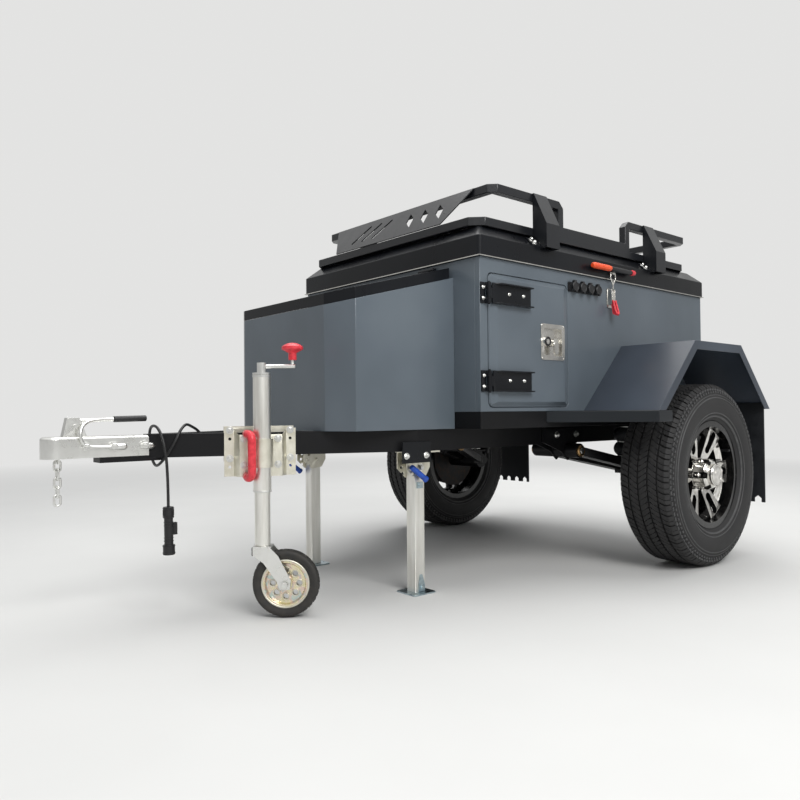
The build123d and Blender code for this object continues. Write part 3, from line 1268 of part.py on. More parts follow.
def jockey_rim():
    half = JOCKEY_WHEEL_WIDTH / 2
    r = JOCKEY_RIM_RADIUS - SEAT_GAP
    bore = JOCKEY_AXLE_RADIUS + PIN_GAP
    points = [(bore, -half), (22, -half), (22, -6), (r - 14, -6), (r - 10, -half + 4), (r, -half + 4), (r, half - 4),
              (r - 10, half - 4), (r - 14, 6), (22, 6), (22, half), (bore, half)]
    disc = jockey_wheel_profile(points)
    place = heading_plane(0)
    turn = Plane(origin=place.from_local_coords(Vector(JOCKEY_TRAIL, 0, JOCKEY_WHEEL_RADIUS)),
                 x_dir=place.x_dir, z_dir=place.y_dir * -1)
    for loc in PolarLocations(42, 8):
        disc -= turn * loc * Cylinder(9, 40)
    return disc


# Stabiliser legs
def leg_left():
    """A square leg with its foot plate, turned on the bracket's pin."""
    x = at_x(LEG_REACH)
    y = -LEG_Y
    half = LEG_TUBE / 2
    top = LEG_PIVOT_Z + half
    tube = block(x - half, x + half, y - half, y + half, LEG_FOOT_THICKNESS, top)
    tube = fillet(tube.edges().filter_by(Axis.Y).sort_by(Axis.Z)[-2:], half - 1)
    foot = block(x - LEG_FOOT / 2, x + LEG_FOOT / 2, y - LEG_FOOT / 2, y + LEG_FOOT / 2, 0, LEG_FOOT_THICKNESS)
    foot = fillet(foot.edges().filter_by(Axis.Z), 10)
    bore = rod((x, y - 60, LEG_PIVOT_Z), (x, y + 60, LEG_PIVOT_Z), 6 + PIN_GAP)
    return tube + foot - bore


def leg_bracket_left():
    """Two pivot cheeks with an arc of lock holes, hung from the rail on a black plate."""
    x = at_x(LEG_REACH)
    y = -LEG_Y
    half = LEG_TUBE / 2 + 1
    low = BEAM_TOP - BEAM_HEIGHT
    z = LEG_PIVOT_Z
    outline = [(x - 62, low - 6), (x + 46, low - 6), (x + 46, z), (x + 26, z - 32), (x - 24, z - 38), (x - 62, z - 4)]
    bracket = block(x - 66, x + 60, -RAIL_Y - BEAM_WIDTH / 2, y + half + 9, low - 6, low)
    for y0, y1 in ((y - half - 5, y - half), (y + half, y + half + 5)):
        cheek = side_prism(outline, y0, y1)
        for angle in (150, 180, 210):
            hole_x = x + 44 * cos(radians(angle))
            hole_z = z + 44 * sin(radians(angle))
            cheek -= rod((hole_x, y0 - 2, hole_z), (hole_x, y1 + 2, hole_z), 6)
        bracket += cheek
    bracket += rod((x, y - half - 12, z), (x, y + half + 12, z), 6)
    return bracket


def leg_plate_left():
    """The black bolt plate on the outside of the rail above the leg."""
    face = -RAIL_Y - BEAM_WIDTH / 2
    return block(at_x(LEG_PLATE_FRONT_REACH), at_x(LEG_PLATE_REAR_REACH), face - 6, face, LEG_PLATE_BOTTOM,
                 LEG_PLATE_TOP)


# Body fittings
def socket_panel():
    """Four round sockets with sprung caps on a black strip."""
    face = -BODY_HALF_WIDTH
    x0 = at_x(DOOR_REAR_REACH) + 3
    strip = block(x0, x0 + SOCKET_COUNT * SOCKET_PITCH, face - 4, face, SOCKET_Z - SOCKET_STRIP_HALF,
                  SOCKET_Z + SOCKET_STRIP_HALF)
    strip = fillet(strip.edges().filter_by(Axis.Y), 6)
    for number in range(SOCKET_COUNT):
        x = x0 + (number + 0.5) * SOCKET_PITCH
        strip += rod((x, face - 4, SOCKET_Z), (x, face - 18, SOCKET_Z), 17)
    return strip


def lid_latch():
    """A toggle latch on the body: base, claw and curled handle."""
    x = at_x(LATCH_REACH)
    face = -BODY_HALF_WIDTH
    base = block(x - 18, x + 18, face - 5, face, 1070, 1150)
    base = fillet(base.edges().filter_by(Axis.Y), 5)
    base += block(x - 14, x - 9, face - 24, face - 5, 1082, 1146)
    base += block(x + 9, x + 14, face - 24, face - 5, 1082, 1146)
    base += rod((x - 14, face - 17, 1138), (x + 14, face - 17, 1138), 4)
    return base


def latch_handle():
    x = at_x(LATCH_REACH)
    face = -BODY_HALF_WIDTH
    outline = [(face - 10, 1136), (face - 22, 1136), (face - 26, 1090), (face - 34, 1050), (face - 46, 1040),
               (face - 42, 1034), (face - 24, 1042), (face - 16, 1086)]
    return end_prism(outline, x - 8, x + 8)


def latch_loop():
    """The wire loop that hangs from the lid's keeper, ending just above the claw."""
    x = at_x(LATCH_REACH)
    face = -LID_HALF_WIDTH
    y = face - 12
    path = FilletPolyline((x - 2, y, 1166), (x - 18, y, 1192), (x - 15, y, 1214), (x + 15, y, 1214),
                          (x + 18, y, 1192), (x + 2, y, 1166), radius=8)
    ring = sweep(Plane(origin=path @ 0, z_dir=path % 0) * Circle(3), path=path)
    keeper = block(x - 9, x + 9, face - 18, face, 1206, 1222)
    return ring + rod((x, y, 1170), (x, y, 1146), 3) + keeper


def lid_grip():
    """Orange and black handle bar on two standoffs along the lid's skirt."""
    face = -LID_HALF_WIDTH
    y = face - GRIP_RADIUS - 4
    z = 1226
    bar = rod((at_x(GRIP_FRONT_REACH), y, z), (at_x(GRIP_REAR_REACH), y, z), GRIP_RADIUS)
    bar = fillet(bar.edges(), 6)
    for reach in (GRIP_FRONT_REACH - 50, GRIP_REAR_REACH + 50):
        bar += block(at_x(reach) - 12, at_x(reach) + 12, y, face, z - 8, z + 8)
    return bar


def tail_lamps():
    x0 = at_x(-BODY_REAR)
    lamps = []
    for side in (-1, 1):
        y0 = side * (BODY_HALF_WIDTH - 50)
        lamp = block(x0, x0 + TAIL_LAMP_DEPTH, y0 - LAMP_HALF, y0 + LAMP_HALF, LAMP_BOTTOM, LAMP_TOP)
        lamps.append(fillet(lamp.edges().filter_by(Axis.X), 8))
    return lamps


def number_plate():
    face = at_x(-BODY_REAR) + GATE_PROUD
    return block(face, face + 3, -PLATE_HALF, PLATE_HALF, PLATE_BOTTOM, PLATE_TOP)


def nose_hinge_fixed():
    """Knuckles and pins behind the front lid, on a strip across the body's front."""
    pin_x, pin_z = nose_pin_place()
    leaves = []
    x1 = at_x(BODY_FRONT_REACH)
    for middle in NOSE_HINGES:
        low = middle - 40
        high = middle + 40
        leaf = block(x1 - 4, x1, low, high, pin_z - 26, pin_z + 6)
        for y0, y1 in ((low, low + 20), (high - 20, high)):
            leaf += rod((pin_x, y0, pin_z), (pin_x, y1, pin_z), 7)
            leaf += block(pin_x, x1, y0, y1, pin_z - 4, pin_z + 4)
        leaf += rod((pin_x, low - 3, pin_z), (pin_x, high + 3, pin_z), PIN_RADIUS)
        leaves.append(leaf)
    return leaves


NOSE_HINGES = (-NOSE_HINGE_Y, NOSE_HINGE_Y)


def nose_pin_place():
    x = at_x(NOSE_LID_REAR_REACH) + 8
    return x, nose_lid_z(x) + NOSE_LID_THICKNESS + 6


def nose_lid_straps():
    pin_x, pin_z = nose_pin_place()
    leaves = []
    lead = 60
    for middle in NOSE_HINGES:
        y0 = middle - 20 + SEAT_GAP
        y1 = middle + 20 - SEAT_GAP
        z_pin = nose_lid_z(pin_x) + NOSE_LID_THICKNESS
        z_lead = nose_lid_z(pin_x - lead) + NOSE_LID_THICKNESS
        leaf = side_prism([(pin_x, z_pin), (pin_x - lead, z_lead), (pin_x - lead, z_lead + 4), (pin_x, z_pin + 4)], y0, y1)
        leaf += rod((pin_x, y0, pin_z), (pin_x, y1, pin_z), 7)
        leaf -= rod((pin_x, y0 - 1, pin_z), (pin_x, y1 + 1, pin_z), PIN_RADIUS + PIN_GAP)
        leaves.append(leaf)
    return leaves


# Middle of each main lid hinge, from the axle line
LID_HINGES = (-LID_HINGE_FRONT, -LID_HINGE_MIDDLE, LID_HINGE_REAR)


def lid_hinge_place():
    return LID_HALF_WIDTH + LID_PIN_OUT, LID_SKIRT_BOTTOM - 3


def lid_hinge_fixed():
    """Body leaves, knuckles and pins of the main lid's hinges on the right side."""
    pin_y, pin_z = lid_hinge_place()
    leaves = []
    for offset in LID_HINGES:
        low = AXLE_X + offset - 45
        high = low + 90
        leaf = block(low, high, BODY_HALF_WIDTH, BODY_HALF_WIDTH + LEAF_THICKNESS, pin_z - 45, pin_z - KNUCKLE_RADIUS - 2)
        for x0, x1 in ((low, low + 22), (high - 22, high)):
            leaf += rod((x0, pin_y, pin_z), (x1, pin_y, pin_z), KNUCKLE_RADIUS)
            leaf += block(x0, x1, BODY_HALF_WIDTH, pin_y, pin_z - KNUCKLE_RADIUS - 4, pin_z - 3)
        leaf += rod((low - 4, pin_y, pin_z), (high + 4, pin_y, pin_z), PIN_RADIUS)
        leaves.append(leaf)
    return leaves


def lid_straps():
    pin_y, pin_z = lid_hinge_place()
    leaves = []
    for offset in LID_HINGES:
        x0 = AXLE_X + offset - 23 + SEAT_GAP
        x1 = AXLE_X + offset + 23 - SEAT_GAP
        leaf = block(x0, x1, LID_HALF_WIDTH, LID_HALF_WIDTH + LEAF_THICKNESS, pin_z, pin_z + 52)
        leaf += rod((x0, pin_y, pin_z), (x1, pin_y, pin_z), KNUCKLE_RADIUS)
        leaf -= rod((x0 - 1, pin_y, pin_z), (x1 + 1, pin_y, pin_z), PIN_RADIUS + PIN_GAP)
        leaves.append(leaf)
    return leaves


def mirrored(shapes):
    return [other_side(shape) for shape in shapes]


def build_nodes():
    """Every sub-part's name and its solids."""
    near = suspension_arm_left()
    nodes = {
        "drawbar_frame": [drawbar_frame()],
        "chassis_rails": [chassis_rails()],
        "coupler_body": [coupler_body() + chain_lug()],
        "coupler_lever": [coupler_latch(), coupler_grip()],
        "safety_chain": safety_chain(),
        "cable": [cable()],
        "cable_gland": [cable_gland()],
        "cable_plug": [cable_plug()],
        "front_box": [nose_box()],
        "body_left_side": [body_side_left()],
        "body_right_side": [other_side(body_side_left())],
        "body_front_wall": [body_front_wall()],
        "body_rear_frame": [body_rear_frame()],
        "body_floor": [body_floor()],
        "fender_left": [fender_left()],
        "fender_right": [other_side(fender_left())],
        "steps": [step_left(), other_side(step_left())],
        "mud_flap_left": [mud_flap_left()],
        "mud_flap_right": [other_side(mud_flap_left())],
        "suspension_arm_left": [near],
        "suspension_arm_right": [other_side(near)],
        "air_springs": [air_spring_left(), other_side(air_spring_left())],
        "dampers": [shock_left(), other_side(shock_left())],
        "spring_towers": [spring_tower_left(), other_side(spring_tower_left())],
        "pivot_mounts": pivot_mount_left() + mirrored(pivot_mount_left()),
        "hub_left": [hub(-1)],
        "hub_right": [hub(1)],
        "hinge_leaves": (hinge_fixed() + mirrored(hinge_fixed()) + gate_hinge_fixed() + nose_hinge_fixed()
                         + lid_hinge_fixed()),
        "socket_panel": [socket_panel()],
        "lid_latch": [lid_latch() + latch_handle()],
        "tail_lamps": tail_lamps(),
        "leg_brackets": [leg_bracket_left(), leg_plate_left()] + mirrored([leg_bracket_left(), leg_plate_left()]),
        "jockey_bracket": [jockey_bracket(), jockey_back_plate()],
        "jockey_tube": [jockey_tube()],
        "jockey_crank": [jockey_crank()],
        "jockey_grips": [jockey_knob(), jockey_handle()],
        "jockey_inner_tube": [jockey_inner_tube()],
        "jockey_fork": [jockey_fork()],
        "jockey_tyre": [jockey_tyre()],
        "jockey_rim": [jockey_rim()],
        "leg_left": [leg_left()],
        "leg_right": [other_side(leg_left())],
        "door_left": [door_panel()],
        "door_right": [other_side(door_panel())],
        "door_left_fittings": door_straps() + [door_lock()],
        "door_right_fittings": mirrored(door_straps() + [door_lock()]),
        "main_lid": [main_lid()],
        "rack_frame": [rack_rails() + rack_hoops()],
        "rack_brackets": rack_brackets() + mirrored(rack_brackets()),
        "rack_plate": [rack_plate()],
        "lid_fittings": [latch_loop(), lid_grip()] + lid_straps(),
        "front_lid": [nose_lid()] + nose_lid_straps(),
        "tailgate": [tailgate_panel()],
        "tailgate_fittings": gate_straps() + [tailgate_handle(), number_plate()],
    }
    for name, side in (("left", -1), ("right", 1)):
        nodes["tyre_" + name] = [tyre(side)]
        nodes["rim_" + name] = [rim(side)]
    return nodes


def main():
    os.makedirs("parts", exist_ok=True)
    nodes = build_nodes()
    print("nodes", len(nodes))
    for name, shapes in nodes.items():
        solids = [solid for shape in shapes for solid in shape.solids()]
        body = solids[0] if len(solids) == 1 else Compound(children=solids)
        export_step(body, "parts/" + name + ".step")


main()
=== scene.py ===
"""Off-road box camper trailer, dressed around its solid model.

Finishes, tyre treads, wheels, fasteners, the trailer cable, the floor and the light.
"""
import json
from math import atan2, cos, hypot, pi, radians, sin, sqrt

import bmesh
import bpy
from mathutils import Matrix, Vector

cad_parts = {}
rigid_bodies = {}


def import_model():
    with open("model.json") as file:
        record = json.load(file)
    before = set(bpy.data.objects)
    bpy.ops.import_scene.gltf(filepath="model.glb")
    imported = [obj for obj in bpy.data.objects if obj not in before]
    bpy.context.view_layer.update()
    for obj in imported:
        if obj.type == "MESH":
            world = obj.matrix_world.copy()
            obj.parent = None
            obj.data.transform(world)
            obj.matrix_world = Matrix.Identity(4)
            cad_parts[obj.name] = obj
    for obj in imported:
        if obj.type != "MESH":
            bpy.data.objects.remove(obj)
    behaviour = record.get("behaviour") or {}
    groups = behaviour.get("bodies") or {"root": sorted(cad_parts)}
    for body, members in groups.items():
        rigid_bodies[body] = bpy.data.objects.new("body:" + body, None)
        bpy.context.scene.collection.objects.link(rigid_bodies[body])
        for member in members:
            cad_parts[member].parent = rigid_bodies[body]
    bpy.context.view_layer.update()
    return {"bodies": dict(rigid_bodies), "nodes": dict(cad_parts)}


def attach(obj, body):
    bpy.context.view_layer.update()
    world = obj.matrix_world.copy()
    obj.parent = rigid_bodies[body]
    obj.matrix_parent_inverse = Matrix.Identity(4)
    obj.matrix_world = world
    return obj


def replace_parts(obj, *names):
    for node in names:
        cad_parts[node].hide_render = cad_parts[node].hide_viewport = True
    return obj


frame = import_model()
NODES = frame["nodes"]
BODY_OF = {node: body for body, empty in frame["bodies"].items() for node in NODES
           if NODES[node].parent == empty}

# Places are in millimetres from the trailer's origin; a reach is measured ahead of the axle line
MM = 0.001
AXLE_X = 914.5
WHEEL_Y = 735
TYRE_RADIUS = 374.5
BODY_SIDE = 540
DOOR_FACE = 552
STRAP_FACE = 557
LID_SIDE = 550
SIDES = (("left", -1), ("right", 1))


def placed(name, data):
    """A new object in the scene that holds a mesh, a curve, a lamp or a camera."""
    thing = bpy.data.objects.new(name, data)
    bpy.context.scene.collection.objects.link(thing)
    return thing


def camera():
    """The photograph's viewpoint: low down, ahead of the left front corner."""
    lens_pixels = 726.2
    image_pixels = 800
    sensor = 36
    place = Vector((-2006.6, -2275.2, 645.5)) * MM
    heading = radians(49.5)
    pitch = radians(0.9)
    roll = radians(-0.5)
    ahead = Vector((cos(heading), sin(heading), 0))
    right = Vector((sin(heading), -cos(heading), 0))
    up = Vector((0, 0, 1))
    look = ahead * cos(pitch) + up * sin(pitch)
    top = up * cos(pitch) - ahead * sin(pitch)
    side = right * cos(roll) + top * sin(roll)
    crown_way = top * cos(roll) - right * sin(roll)
    data = bpy.data.cameras.new("camera")
    data.lens = sensor * lens_pixels / image_pixels
    data.sensor_width = sensor
    data.clip_start = 0.05
    eye = placed("camera", data)
    turn = Matrix((side, crown_way, -look)).transposed().to_4x4()
    eye.matrix_world = Matrix.Translation(place) @ turn
    bpy.context.scene.camera = eye


# Colours and shader nodes
def linear(code):
    """An sRGB hex colour as linear RGBA."""
    parts = [int(code[i:i + 2], 16) / 255 for i in (0, 2, 4)]
    return tuple(p / 12.92 if p <= 0.04045 else ((p + 0.055) / 1.055) ** 2.4 for p in parts) + (1.0,)


def add(tree, kind, inputs=None, stops=(), **settings):
    """A shader node with its settings, its inputs and the stops of a colour ramp.

    An input is a value, a socket to link, or a node whose first output is linked.
    """
    node = tree.nodes.new("ShaderNode" + kind)
    for name, value in settings.items():
        setattr(node, name, value)
    for name, value in (inputs or {}).items():
        if isinstance(value, bpy.types.Node):
            value = value.outputs[0]
        if isinstance(value, bpy.types.NodeSocket):
            tree.links.new(value, node.inputs[name])
        else:
            node.inputs[name].default_value = value
    for number, (share, code) in enumerate(stops):
        elements = node.color_ramp.elements
        element = elements[number] if number < 2 else elements.new(share)
        element.position = share
        element.color = linear(code)
    return node


def new_material(name):
    """An empty material, its tree and the object's coordinates in metres."""
    material = bpy.data.materials.new(name)
    material.use_nodes = True
    tree = material.node_tree
    tree.nodes.clear()
    place = add(tree, "TexCoord").outputs["Object"]
    return material, tree, place


# Finishes
def powder_coat(name, dark, middle, light, rough, coat, shine, dust_share=0.05):
    """Powder coat on sheet steel: satin, softly drifting in tone, with water marks, dust and orange peel."""
    material, tree, place = new_material(name)
    drift = add(tree, "TexNoise",
                {"Vector": place, "Scale": 1 / (520 * MM), "Detail": 3, "Roughness": 0.5})
    tone = add(tree, "ValToRGB", {"Fac": drift},
               stops=((0.32, dark), (0.68, light), (0.5, middle)))
    # Dried water runs down the sheet in marks 70 mm wide
    runs = add(tree, "Mapping", {"Vector": place, "Scale": (1, 1, 0.3)})
    marks = add(tree, "TexNoise",
                {"Vector": runs, "Scale": 1 / (70 * MM), "Detail": 6, "Roughness": 0.68})
    gloss = add(tree, "MapRange", {"Value": marks, "From Min": 0.3, "From Max": 0.75,
                                   "To Min": rough - 0.05, "To Max": rough + 0.09})
    # Dust specks and orange peel are finer than this, and are drawn coarse enough to show
    dust = add(tree, "TexNoise",
               {"Vector": place, "Scale": 1 / (9 * MM), "Detail": 4, "Roughness": 0.7})
    specks = add(tree, "MapRange", {"Value": dust, "From Min": 0.66, "From Max": 0.8,
                                    "To Min": 0.0, "To Max": dust_share})
    colour = add(tree, "Mix", {0: specks, 6: tone, 7: linear("8C8B86")},
                 data_type="RGBA")
    peel = add(tree, "TexNoise", {"Vector": place, "Scale": 1 / (4 * MM), "Detail": 2})
    relief = add(tree, "Bump", {"Height": peel, "Distance": 0.012 * MM, "Strength": 1.0})
    shader = add(tree, "BsdfPrincipled",
                 {"Base Color": colour.outputs[2], "Roughness": gloss, "Specular IOR Level": shine,
                  "Coat Weight": coat, "Coat Roughness": 0.16, "Normal": relief})
    add(tree, "OutputMaterial", {"Surface": shader})
    return material


def plated_steel(name, dark, light, rough, cloud_mm, stretch=(1, 1, 1)):
    """Zinc-plated or pressed steel: pale metal, clouded in tone and shine, with a fine grain."""
    material, tree, place = new_material(name)
    drawn = add(tree, "Mapping", {"Vector": place, "Scale": stretch})
    cloud = add(tree, "TexNoise",
                {"Vector": drawn, "Scale": 1 / (cloud_mm * MM), "Detail": 5, "Roughness": 0.6})
    tone = add(tree, "ValToRGB", {"Fac": cloud}, stops=((0.3, dark), (0.7, light)))
    gloss = add(tree, "MapRange", {"Value": cloud, "From Min": 0.3, "From Max": 0.7,
                                   "To Min": rough - 0.05, "To Max": rough + 0.06})
    # The crystals of the plating are finer than 1.8 mm, and are drawn coarse enough to show
    grain = add(tree, "TexNoise", {"Vector": drawn, "Scale": 1 / (1.8 * MM), "Detail": 3})
    relief = add(tree, "Bump", {"Height": grain, "Distance": 0.012 * MM, "Strength": 1.0})
    shader = add(tree, "BsdfPrincipled",
                 {"Base Color": tone, "Metallic": 1.0, "Roughness": gloss,
                  "Normal": relief})
    add(tree, "OutputMaterial", {"Surface": shader})
    return material


def passivated_zinc(name):
    """Yellow-passivated zinc: pale gold that turns pink, green and blue in bands."""
    material, tree, place = new_material(name)
    cloud = add(tree, "TexNoise",
                {"Vector": place, "Scale": 1 / (30 * MM), "Detail": 4, "Roughness": 0.6})
    bands = ((0.32, "D9D0A8"), (0.72, "E6E2CF"), (0.44, "E8E0BE"), (0.53, "E0C8BC"), (0.6, "BFD0CC"))
    tone = add(tree, "ValToRGB", {"Fac": cloud}, stops=bands)
    gloss = add(tree, "MapRange", {"Value": cloud, "From Min": 0.35, "From Max": 0.65,
                                   "To Min": 0.2, "To Max": 0.36})
    shader = add(tree, "BsdfPrincipled",
                 {"Base Color": tone, "Metallic": 0.9, "Roughness": gloss})
    add(tree, "OutputMaterial", {"Surface": shader})
    return material


def machined_alloy(name):
    """Bright machined and clear-coated alloy, with the tool's fine lines left in its shine."""
    material, tree, place = new_material(name)
    # The tool's lines are finer than 5 mm, and are drawn coarse enough to show
    lines = add(tree, "Mapping", {"Vector": place, "Scale": (0.25, 1, 0.25)})
    cut = add(tree, "TexNoise", {"Vector": lines, "Scale": 1 / (5 * MM), "Detail": 3})
    tone = add(tree, "ValToRGB", {"Fac": cut}, stops=((0.3, "C9C6C0"), (0.7, "F0EEEA")))
    gloss = add(tree, "MapRange", {"Value": cut, "From Min": 0.3, "From Max": 0.7,
                                   "To Min": 0.1, "To Max": 0.19})
    shader = add(tree, "BsdfPrincipled",
                 {"Base Color": tone, "Metallic": 1.0, "Roughness": gloss})
    add(tree, "OutputMaterial", {"Surface": shader})
    return material


def enamel(name, clean, dusty, rough):
    """Gloss enamel in the wheel's pockets, with brake dust dulling it in patches."""
    material, tree, place = new_material(name)
    dust = add(tree, "TexNoise",
               {"Vector": place, "Scale": 1 / (22 * MM), "Detail": 5, "Roughness": 0.65})
    tone = add(tree, "ValToRGB", {"Fac": dust}, stops=((0.4, clean), (0.75, dusty)))
    gloss = add(tree, "MapRange", {"Value": dust, "From Min": 0.35, "From Max": 0.7,
                                   "To Min": rough, "To Max": rough + 0.2})
    shader = add(tree, "BsdfPrincipled",
                 {"Base Color": tone, "Roughness": gloss,
                  "Specular IOR Level": 0.35, "Coat Weight": 0.2, "Coat Roughness": 0.1})
    add(tree, "OutputMaterial", {"Surface": shader})
    return material


def rubber(name, dark, light, rough, dust_mm, grain_mm, grain_depth):
    """Moulded rubber: near black, greyer where dust lies, with a fine open grain."""
    material, tree, place = new_material(name)
    dust = add(tree, "TexNoise",
               {"Vector": place, "Scale": 1 / (dust_mm * MM), "Detail": 6, "Roughness": 0.62})
    tone = add(tree, "ValToRGB", {"Fac": dust}, stops=((0.36, dark), (0.7, light)))
    gloss = add(tree, "MapRange", {"Value": dust, "From Min": 0.35, "From Max": 0.7,
                                   "To Min": rough - 0.08, "To Max": rough + 0.12})
    grain = add(tree, "TexNoise", {"Vector": place, "Scale": 1 / (grain_mm * MM), "Detail": 3})
    relief = add(tree, "Bump", {"Height": grain, "Distance": grain_depth * MM, "Strength": 1.0})
    shader = add(tree, "BsdfPrincipled",
                 {"Base Color": tone, "Roughness": gloss,
                  "Normal": relief})
    add(tree, "OutputMaterial", {"Surface": shader})
    return material


def moulded_plastic(name, dark, light, rough):
    """Injection-moulded or dipped plastic with a slight unevenness of tone and shine."""
    material, tree, place = new_material(name)
    cloud = add(tree, "TexNoise", {"Vector": place, "Scale": 1 / (16 * MM), "Detail": 3})
    tone = add(tree, "ValToRGB", {"Fac": cloud}, stops=((0.3, dark), (0.7, light)))
    gloss = add(tree, "MapRange", {"Value": cloud, "From Min": 0.3, "From Max": 0.7,
                                   "To Min": rough - 0.06, "To Max": rough + 0.08})
    skin = add(tree, "TexNoise", {"Vector": place, "Scale": 1 / (1.8 * MM), "Detail": 2})
    relief = add(tree, "Bump", {"Height": skin, "Distance": 0.04 * MM, "Strength": 1.0})
    shader = add(tree, "BsdfPrincipled",
                 {"Base Color": tone, "Roughness": gloss,
                  "Normal": relief})
    add(tree, "OutputMaterial", {"Surface": shader})
    return material


def cast_iron(name):
    """Sand-cast iron: dark and pitted, with a bloom of brown rust."""
    material, tree, place = new_material(name)
    rust = add(tree, "TexNoise",
               {"Vector": place, "Scale": 1 / (24 * MM), "Detail": 6, "Roughness": 0.65})
    tone = add(tree, "ValToRGB", {"Fac": rust},
               stops=((0.38, "202023"), (0.76, "54392B"), (0.56, "332D29")))
    gloss = add(tree, "MapRange", {"Value": rust, "To Min": 0.45, "To Max": 0.85})
    pits = add(tree, "TexNoise", {"Vector": place, "Scale": 1 / (4 * MM), "Detail": 4})
    relief = add(tree, "Bump", {"Height": pits, "Distance": 0.4 * MM, "Strength": 1.0})
    shader = add(tree, "BsdfPrincipled",
                 {"Base Color": tone, "Metallic": 0.35, "Roughness": gloss,
                  "Normal": relief})
    add(tree, "OutputMaterial", {"Surface": shader})
    return material


def lens(name, dark, light):
    """Ribbed lens plastic: the moulded ribs, 5 mm apart, run up and down behind a glossy face."""
    material, tree, place = new_material(name)
    ribs = add(tree, "TexWave", {"Vector": place, "Scale": 0.5 / (5 * MM) / pi, "Distortion": 0.0},
               wave_type="BANDS", bands_direction="Y")
    tone = add(tree, "ValToRGB", {"Fac": ribs.outputs["Fac"]}, stops=((0.2, dark), (0.8, light)))
    relief = add(tree, "Bump", {"Height": ribs.outputs["Fac"], "Distance": 0.5 * MM, "Strength": 1.0})
    shader = add(tree, "BsdfPrincipled",
                 {"Base Color": tone, "Roughness": 0.15, "Coat Weight": 0.7, "Coat Roughness": 0.05,
                  "Normal": relief})
    add(tree, "OutputMaterial", {"Surface": shader})
    return material


FINISH = {
    "grey_paint": powder_coat("slate_powder_coat", "555E65", "5D666E", "656E75", 0.34, 0.25, 0.4, 0.16),
    "black_paint": powder_coat("black_powder_coat", "0D0E11", "111317", "17191D", 0.3, 0.08, 0.22),
    "rack_paint": powder_coat("black_rack_powder_coat", "131418", "17191D", "1D2024", 0.32, 0.2, 0.4),
    "black_steel": powder_coat("black_chassis_paint", "0B0B0D", "0F0F11", "151517", 0.42, 0.08, 0.2),
    "fender_paint": powder_coat("dark_slate_powder_coat", "343A43", "3A414B", "424A55", 0.36, 0.2, 0.3),
    "step_paint": powder_coat("charcoal_powder_coat", "15181C", "191D21", "1F2327", 0.36, 0.15, 0.22),
    "zinc": plated_steel("bright_zinc_plate", "DCDCD8", "E9E9E6", 0.3, 60),
    "tube_zinc": plated_steel("zinc_plated_tube", "DAD8D0", "F4F3EE", 0.36, 22, (1, 1, 0.1)),
    "foot_zinc": plated_steel("blue_zinc_plate", "8FA3AC", "C3D0D4", 0.3, 20),
    "yellow_zinc": plated_steel("cream_zinc_plate", "D3CFBE", "E8E5D8", 0.42, 40),
    "pocket_zinc": passivated_zinc("yellow_passivated_zinc"),
    "brass": plated_steel("brass_coloured_zinc", "9C7B50", "C9A77A", 0.32, 12),
    "stainless": plated_steel("pressed_stainless", "CDCBC5", "E6E4DF", 0.24, 45),
    "alloy": machined_alloy("machined_alloy"),
    "alloy_black": enamel("gloss_black_enamel", "09090A", "191817", 0.1),
    "tyre": rubber("tyre_rubber", "1F1F20", "313030", 0.74, 34, 2.4, 0.2),
    # Lighter rubber on the sidewall's raised rings and teeth: a painted highlight
    "tyre_ring_highlight": rubber("tyre_rubber_painted_highlight", "3A3A3B", "565656", 0.6, 20, 2.4, 0.2),
    "jockey_rubber": rubber("jockey_tyre_rubber", "232221", "393632", 0.66, 20, 2.0, 0.12),
    "flap_rubber": rubber("flap_rubber", "131519", "1E2125", 0.6, 60, 3.0, 0.2),
    "cable_rubber": rubber("cable_sheath", "101011", "1B1B1C", 0.45, 12, 2.0, 0.08),
    "black_plastic": moulded_plastic("black_nylon", "121213", "1D1D1F", 0.42),
    "red_plastic": moulded_plastic("red_dipped_plastic", "C92A35", "EE4450", 0.34),
    "orange_plastic": moulded_plastic("orange_grip_plastic", "E5481E", "FA6433", 0.36),
    "blue_plastic": moulded_plastic("blue_dipped_plastic", "163C92", "1F55BC", 0.36),
    "white_plate": moulded_plastic("blank_pressed_plate", "C9CAC8", "DCDDDB", 0.4),
    "cast_drum": cast_iron("rusty_cast_iron"),
    "lamp_red": lens("red_lens", "6E0C10", "A3151B"),
    "lamp_amber": lens("amber_lens", "B2590C", "D97A1C"),
    "lamp_clear": lens("clear_lens", "B9BDBE", "DFE3E3"),
}


# Making pieces
def mesh_of(name, bm):
    """A mesh from a bmesh, which is used up."""
    mesh = bpy.data.meshes.new(name)
    bm.to_mesh(mesh)
    bm.free()
    return mesh


def geometry(bm):
    """All of a bmesh, as its operators take it."""
    return bm.verts[:] + bm.edges[:] + bm.faces[:]


def piece_of(name, bm, body, finishes, smooth=35, edge_mm=0, segments=2):
    """A piece that rides on a body, made from a bmesh, smooth below an angle, its edges broken."""
    mesh = mesh_of(name, bm)
    for polygon in mesh.polygons:
        polygon.use_smooth = True
    mesh.set_sharp_from_angle(angle=radians(smooth))
    piece = placed(name, mesh)
    for finish in finishes:
        mesh.materials.append(FINISH[finish])
    if edge_mm:
        edge = piece.modifiers.new("broken_edge", "BEVEL")
        edge.width = edge_mm * MM
        edge.segments = segments
        edge.limit_method = "ANGLE"
        edge.angle_limit = radians(smooth)
        edge.use_clamp_overlap = True
    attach(piece, body)
    return piece


def merged_copy(node):
    """The node's surface as closed skins, its flat faces whole again."""
    bm = bmesh.new()
    bm.from_mesh(NODES[node].data)
    bmesh.ops.remove_doubles(bm, verts=bm.verts, dist=0.00002)
    bmesh.ops.dissolve_limit(bm, angle_limit=radians(0.6), verts=bm.verts, edges=bm.edges)
    return bm


